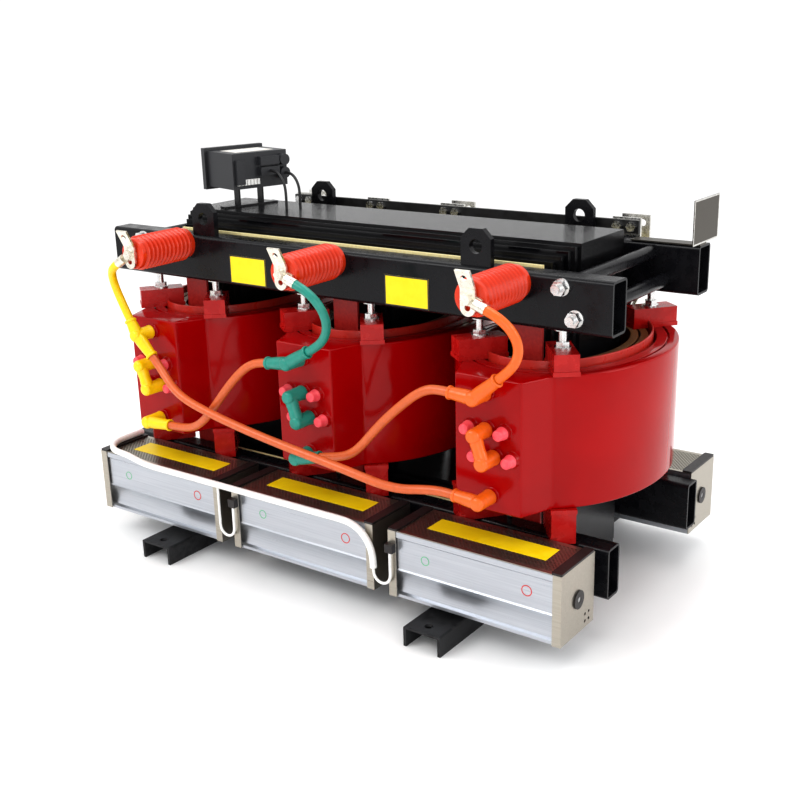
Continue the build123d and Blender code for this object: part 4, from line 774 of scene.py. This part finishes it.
# Cord name: real length in metres, finish, stiffness.
CORDS = {
    "cable_jumper_a": (0.153, "phase_yellow", "stiff"),
    "cable_jumper_b": (0.186, "phase_green", "stiff"),
    "cable_jumper_c": (0.165, "phase_orange", "stiff"),
    "cable_delta_ab": (0.350, "cable_brown", "stiff"),
    "cable_delta_bc": (0.355, "cable_brown", "stiff"),
    "cable_delta_ac": (0.776, "cable_brown", "stiff"),
    "fan_conduit": (0.893, "white_conduit", "medium"),
    "fan_lead_1": (0.189, "white_conduit", "medium"),
    "fan_lead_2": (0.115, "white_conduit", "medium"),
    "controller_lead": (0.104, "black_lead", "medium"),
    "controller_wires": (0.113, "black_lead", "medium"),
}


def cord_radius(name):
    """Radius of a cord in millimetres, from what it is."""
    if name.startswith("cable"):
        return sizes().cable_radius / MM
    if name.startswith("controller"):
        return CONTROLLER_LEAD_RADIUS
    return CONDUIT_RADIUS if name == "fan_conduit" else FAN_LEAD_RADIUS


class TRANSFORMER_OT_cables(bpy.types.Operator):
    """Jumpers, delta cables, fan conduit and controller leads, each a smooth line through its route"""

    bl_idname = "transformer.cables"
    bl_label = "Cables"

    def execute(self, context):
        for name, (length, material, stiffness) in CORDS.items():
            points = np.array(ROUTES[name]) * MM
            radius = cord_radius(name) * MM
            curve = bpy.data.curves.new(name, "CURVE")
            curve.dimensions = "3D"
            curve.bevel_depth = radius
            curve.bevel_resolution = 6
            curve.resolution_u = 12
            curve.use_fill_caps = True
            line = curve.splines.new("NURBS")
            line.points.add(len(points) - 1)
            line.points.foreach_set("co", np.column_stack([points, np.ones(len(points))]).ravel())
            line.order_u = 3
            line.use_endpoint_u = True
            obj = linked(f"cord_{name}", curve, material)
            seat(obj, (name,))
        return {"FINISHED"}


# ---------------------------------------------------------------- fans

FAN_MIDDLES = (-375.0, 18.0, 411.0)
FAN_LENGTH, GRILLE_TOP, GRILLE_SHEET = 358.0, 191.4, 1.2
FAN_FRONT, FAN_REAR = (-345.0, -226.0), (203.0, 322.0)
FAN_PANEL, RING_Z = -342.0, 146.0


def flat_ring(inner, outer):
    """Closed section of a thin printed ring that lies on a panel."""
    return [(0.0, inner), (0.3, inner), (0.3, outer), (0.0, outer), (0.0, inner)]


def perforated(x_low, x_high, y_low, y_high, z_level):
    """A flat sheet as a grid whose cells are left out where rows of staggered slots lie."""
    hole = sizes().hole_length / MM
    pitch, row_pitch, slot_width, rim = 1.45 * hole, 4.6, 2.6, 7.0
    columns = int((x_high - x_low - 2 * rim) // pitch)
    rows = int((y_high - y_low - 2 * rim) // row_pitch)
    x_start = (x_low + x_high - columns * pitch) / 2
    y_start = (y_low + y_high - rows * row_pitch) / 2
    starts = x_start + pitch * np.arange(columns)
    cuts = np.concatenate([[x_low, x_high], starts, starts + hole, starts + pitch / 2,
                           starts + (hole - pitch / 2)])
    x_lines = np.unique(np.round(cuts[(cuts >= x_low) & (cuts <= x_high)], 4))
    bands = y_start + row_pitch * np.arange(rows)
    y_lines = np.unique(np.round(np.concatenate([[y_low, y_high], bands, bands + slot_width]), 4))
    x_middle, y_middle = (x_lines[1:] + x_lines[:-1]) / 2, (y_lines[1:] + y_lines[:-1]) / 2
    row = np.floor((y_middle - y_start) / row_pitch)
    in_row = (row >= 0) & (row < rows) & ((y_middle - y_start) % row_pitch < slot_width)
    offset = (row % 2) * pitch / 2
    phase = (x_middle[:, None] - x_start - offset[None]) % pitch
    inside = (x_middle[:, None] > x_start) & (x_middle[:, None] < x_start + columns * pitch - pitch / 2)
    holes = in_row[None] & inside & (phase < hole)
    grid = np.stack(np.broadcast_arrays(x_lines[:, None], y_lines[None], z_level), axis=-1)
    return grid, ~holes


def sheet_of(name, parts, material, thickness, replaces=()):
    """Flat sheets with holes: kept cells become faces, and a Solidify modifier gives the thickness."""
    points, faces, start = [], [], 0
    for grid, kept in parts:
        index = start + np.arange(grid.shape[0] * grid.shape[1]).reshape(grid.shape[:2])
        quads = np.stack([index[:-1, :-1], index[1:, :-1], index[1:, 1:], index[:-1, 1:]], axis=-1)
        faces.append(quads[kept])
        points.append(grid.reshape(-1, 3) * MM)
        start += grid.shape[0] * grid.shape[1]
    mesh = bpy.data.meshes.new(name)
    mesh.from_pydata(np.concatenate(points), [], np.concatenate(faces))
    mesh.validate()
    obj = linked(name, mesh, material)
    solid = obj.modifiers.new("Sheet", "SOLIDIFY")
    solid.thickness = thickness * MM
    solid.offset = -1.0
    seat(obj, replaces)


class TRANSFORMER_OT_fans(bpy.types.Operator):
    """Perforated grilles and plain coloured marks of the six cooling fans"""

    bl_idname = "transformer.fans"
    bl_label = "Fans"

    def execute(self, context):
        half = FAN_LENGTH / 2 - 2.0
        rows = (("front", FAN_FRONT, ("fan_grilles",)), ("rear", FAN_REAR, ()))
        for label, (y_low, y_high), nodes in rows:
            sheets = [perforated(middle - half, middle + half, y_low, y_high, GRILLE_TOP)
                      for middle in FAN_MIDDLES]
            sheet_of(f"perforated_grilles_{label}", sheets, "stainless_sheet",
                     GRILLE_SHEET, replaces=nodes)
        strips = []
        for middle in FAN_MIDDLES:
            strips += slab((middle - 120, -305.0, GRILLE_TOP), (middle + 126, -255.0, GRILLE_TOP + 0.4))
        surface("fan_notices", strips, "notice_yellow")
        green, red = [], []
        for middle in FAN_MIDDLES:
            green.append(revolved(flat_ring(7.5, 9.0), (middle - 100, FAN_PANEL, RING_Z), (0, -1, 0), 36))
            red.append(revolved(flat_ring(8.6, 10.4), (middle + 110, FAN_PANEL, RING_Z), (0, -1, 0), 36))
        surface("fan_rings_green", green, "ring_green")
        surface("fan_rings_red", red, "ring_red")
        return {"FINISHED"}


# ---------------------------------------------------------------- small fittings

CLAMP_FRONT = -207.9
# Low and high corners of the two bare plates on the clamp and of the rating plate's face.
NOTICES = (((-256, 573), (-158, 631)), ((138, 573), (237, 631)))
PLATE_EDGES = ((117.3, 667.9), (237.3, 751.9))
CONTROLLER_FOOT, CONTROLLER_TURN = (-386.0, 0.0, 740.2), -15
TERMINALS, TERMINAL_PITCH, TERMINAL_WIDTH = 7, 8.2, 6.0


def border_bars(low, high, border):
    """Corner pairs of the four flat bars of a border just inside a rectangle."""
    x_low, z_low = low
    x_high, z_high = high
    return (
        ((x_low, z_high - border), (x_high, z_high)), ((x_low, z_low), (x_high, z_low + border)),
        ((x_low, z_low + border), (x_low + border, z_high - border)),
        ((x_high - border, z_low + border), (x_high, z_high - border)),
    )


class TRANSFORMER_OT_fittings(bpy.types.Operator):
    """Bare yellow plates on the clamp, the rim of the rating plate and the controller's face"""

    bl_idname = "transformer.fittings"
    bl_label = "Small fittings"

    def execute(self, context):
        plates, borders = [], []
        for low, high in NOTICES:
            plates += slab((low[0], CLAMP_FRONT - 0.5, low[1]), (high[0], CLAMP_FRONT, high[1]))
            for corner, other in border_bars(low, high, 2.4):
                borders += slab((corner[0], CLAMP_FRONT - 0.7, corner[1]),
                                (other[0], CLAMP_FRONT - 0.45, other[1]))
        surface("clamp_notices", plates, "notice_yellow")
        surface("clamp_notice_borders", borders, "notice_black")
        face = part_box("rating_plate")[1].x / MM
        rim = []
        for corner, other in border_bars(*PLATE_EDGES, 3.0):
            rim += slab((face - 0.3, *corner), (face + 0.3, *other))
        surface("rating_plate_rim", rim, "tinned_bar")
        turn = np.radians(CONTROLLER_TURN)
        axes = (np.cos(turn), np.sin(turn), 0.0), (-np.sin(turn), np.cos(turn), 0.0), (0, 0, 1)
        label = turned(slab((-30, -48, 75.9), (34, 48, 76.5)), CONTROLLER_FOOT, *axes)
        surface("controller_label", label, "pale_label")
        row = []
        for number in range(TERMINALS):
            y_place = -60.5 + TERMINAL_PITCH * number
            block = slab((52.4, y_place, 8.0), (57.5, y_place + TERMINAL_WIDTH, 20.0))
            row += turned(block, CONTROLLER_FOOT, *axes)
        surface("controller_terminals", row, "white_conduit")
        return {"FINISHED"}


class TRANSFORMER_OT_frame_finish(bpy.types.Operator):
    """Procedural finishes on every construction piece that is shown as it is"""

    bl_idname = "transformer.frame_finish"
    bl_label = "Frame finishes"

    def execute(self, context):
        for name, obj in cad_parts.items():
            for place in obj.material_slots:
                slot = NODE_FINISH.get(name, place.material.name.split(".")[0])
                place.link = "OBJECT"
                place.material = finish_named(slot)
        return {"FINISHED"}


# ---------------------------------------------------------------- stage

EYE = Vector((1399.13, -1892.50, 1063.82)) * MM
EYE_RIGHT, EYE_UP = Vector((0.81147, 0.58386, -0.02496)), Vector((-0.16007, 0.26313, 0.95139))
LENS, SENSOR = 51.96, 36.0


def panel_light(name, place, aim, width, height, power):
    """A large soft area light that looks at a point."""
    light = bpy.data.lights.new(name, "AREA")
    light.shape = "RECTANGLE"
    light.size, light.size_y = width, height
    light.energy = power
    obj = bpy.data.objects.new(name, light)
    obj.location = place
    obj.rotation_euler = (Vector(aim) - Vector(place)).to_track_quat("-Z", "Y").to_euler()
    bpy.context.scene.collection.objects.link(obj)
    return obj


class TRANSFORMER_OT_stage(bpy.types.Operator):
    """Pale floor, soft studio light and the camera"""

    bl_idname = "transformer.stage"
    bl_label = "Stage"

    def execute(self, context):
        scene = context.scene
        world = scene.world or bpy.data.worlds.new("World")
        scene.world = world
        world.use_nodes = True
        world.node_tree.nodes["Background"].inputs["Color"].default_value = (1.0, 1.0, 1.0, 1.0)
        world.node_tree.nodes["Background"].inputs["Strength"].default_value = 1.1
        reach = 14.0
        floor_mesh = bpy.data.meshes.new("floor")
        corners = [(-reach, -reach, 0), (reach, -reach, 0), (reach, reach, 0), (-reach, reach, 0)]
        floor_mesh.from_pydata(corners, [], [(0, 1, 2, 3)])
        floor = bpy.data.objects.new("floor", floor_mesh)
        floor_mesh.materials.append(surface_material(
            "pale_floor", (0.93, 0.93, 0.93), (0.95, 0.95, 0.95), (0.55, 0.65), scale=6.0, depth=0.00002))
        scene.collection.objects.link(floor)
        lights = [
            panel_light("key", (-1.6, -2.6, 3.0), (0, 0, 0.4), 2.6, 1.6, 60),
            panel_light("front", (2.8, -3.2, 1.2), (0, 0, 0.4), 2.0, 2.0, 25),
            panel_light("top", (0.3, 0.4, 3.2), (0, 0, 0.5), 2.8, 1.4, 30),
            panel_light("right", (3.2, 0.8, 1.6), (0, 0, 0.4), 1.4, 1.8, 25),
        ]
        camera_data = bpy.data.cameras.new("camera")
        camera_data.lens, camera_data.sensor_width = LENS, SENSOR
        camera_data.clip_start, camera_data.clip_end = 0.05, 60.0
        camera = bpy.data.objects.new("camera", camera_data)
        back = EYE_RIGHT.cross(EYE_UP)
        turn = Matrix((EYE_RIGHT, EYE_UP, back)).transposed().to_4x4()
        camera.matrix_world = Matrix.Translation(EYE) @ turn
        scene.collection.objects.link(camera)
        scene.camera = camera
        scene.view_settings.view_transform = "Standard"
        scene.view_settings.gamma = 0.84
        return {"FINISHED"}


# ---------------------------------------------------------------- panel and registration


class TRANSFORMER_PT_looks(bpy.types.Panel):
    """Settings and steps of the transformer's looks"""

    bl_label = "Transformer"
    bl_idname = "TRANSFORMER_PT_looks"
    bl_space_type = "VIEW_3D"
    bl_region_type = "UI"
    bl_category = "Transformer"

    def draw(self, context):
        layout = self.layout
        for settings in (context.scene.transformer_finish, context.scene.transformer_sizes):
            column = layout.column()
            for name in settings.__annotations__:
                column.prop(settings, name)
        for step in STEPS:
            layout.operator(step.bl_idname)


STEPS = (
    TRANSFORMER_OT_coils, TRANSFORMER_OT_rubber, TRANSFORMER_OT_cables, TRANSFORMER_OT_fans,
    TRANSFORMER_OT_fittings, TRANSFORMER_OT_frame_finish, TRANSFORMER_OT_stage,
)
CLASSES = (TransformerFinish, TransformerSizes, *STEPS, TRANSFORMER_PT_looks)


def register():
    """Adds the settings, the steps and the sidebar panel."""
    for item in CLASSES:
        bpy.utils.register_class(item)
    bpy.types.Scene.transformer_finish = PointerProperty(type=TransformerFinish)
    bpy.types.Scene.transformer_sizes = PointerProperty(type=TransformerSizes)


def unregister():
    """Takes them away again."""
    del bpy.types.Scene.transformer_finish
    del bpy.types.Scene.transformer_sizes
    for item in reversed(CLASSES):
        bpy.utils.unregister_class(item)


def main():
    """Registers the add-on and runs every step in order."""
    register()
    bpy.ops.transformer.coils()
    bpy.ops.transformer.rubber()
    bpy.ops.transformer.cables()
    bpy.ops.transformer.fans()
    bpy.ops.transformer.fittings()
    bpy.ops.transformer.frame_finish()
    bpy.ops.transformer.stage()


if __name__ == "__main__":
    main()
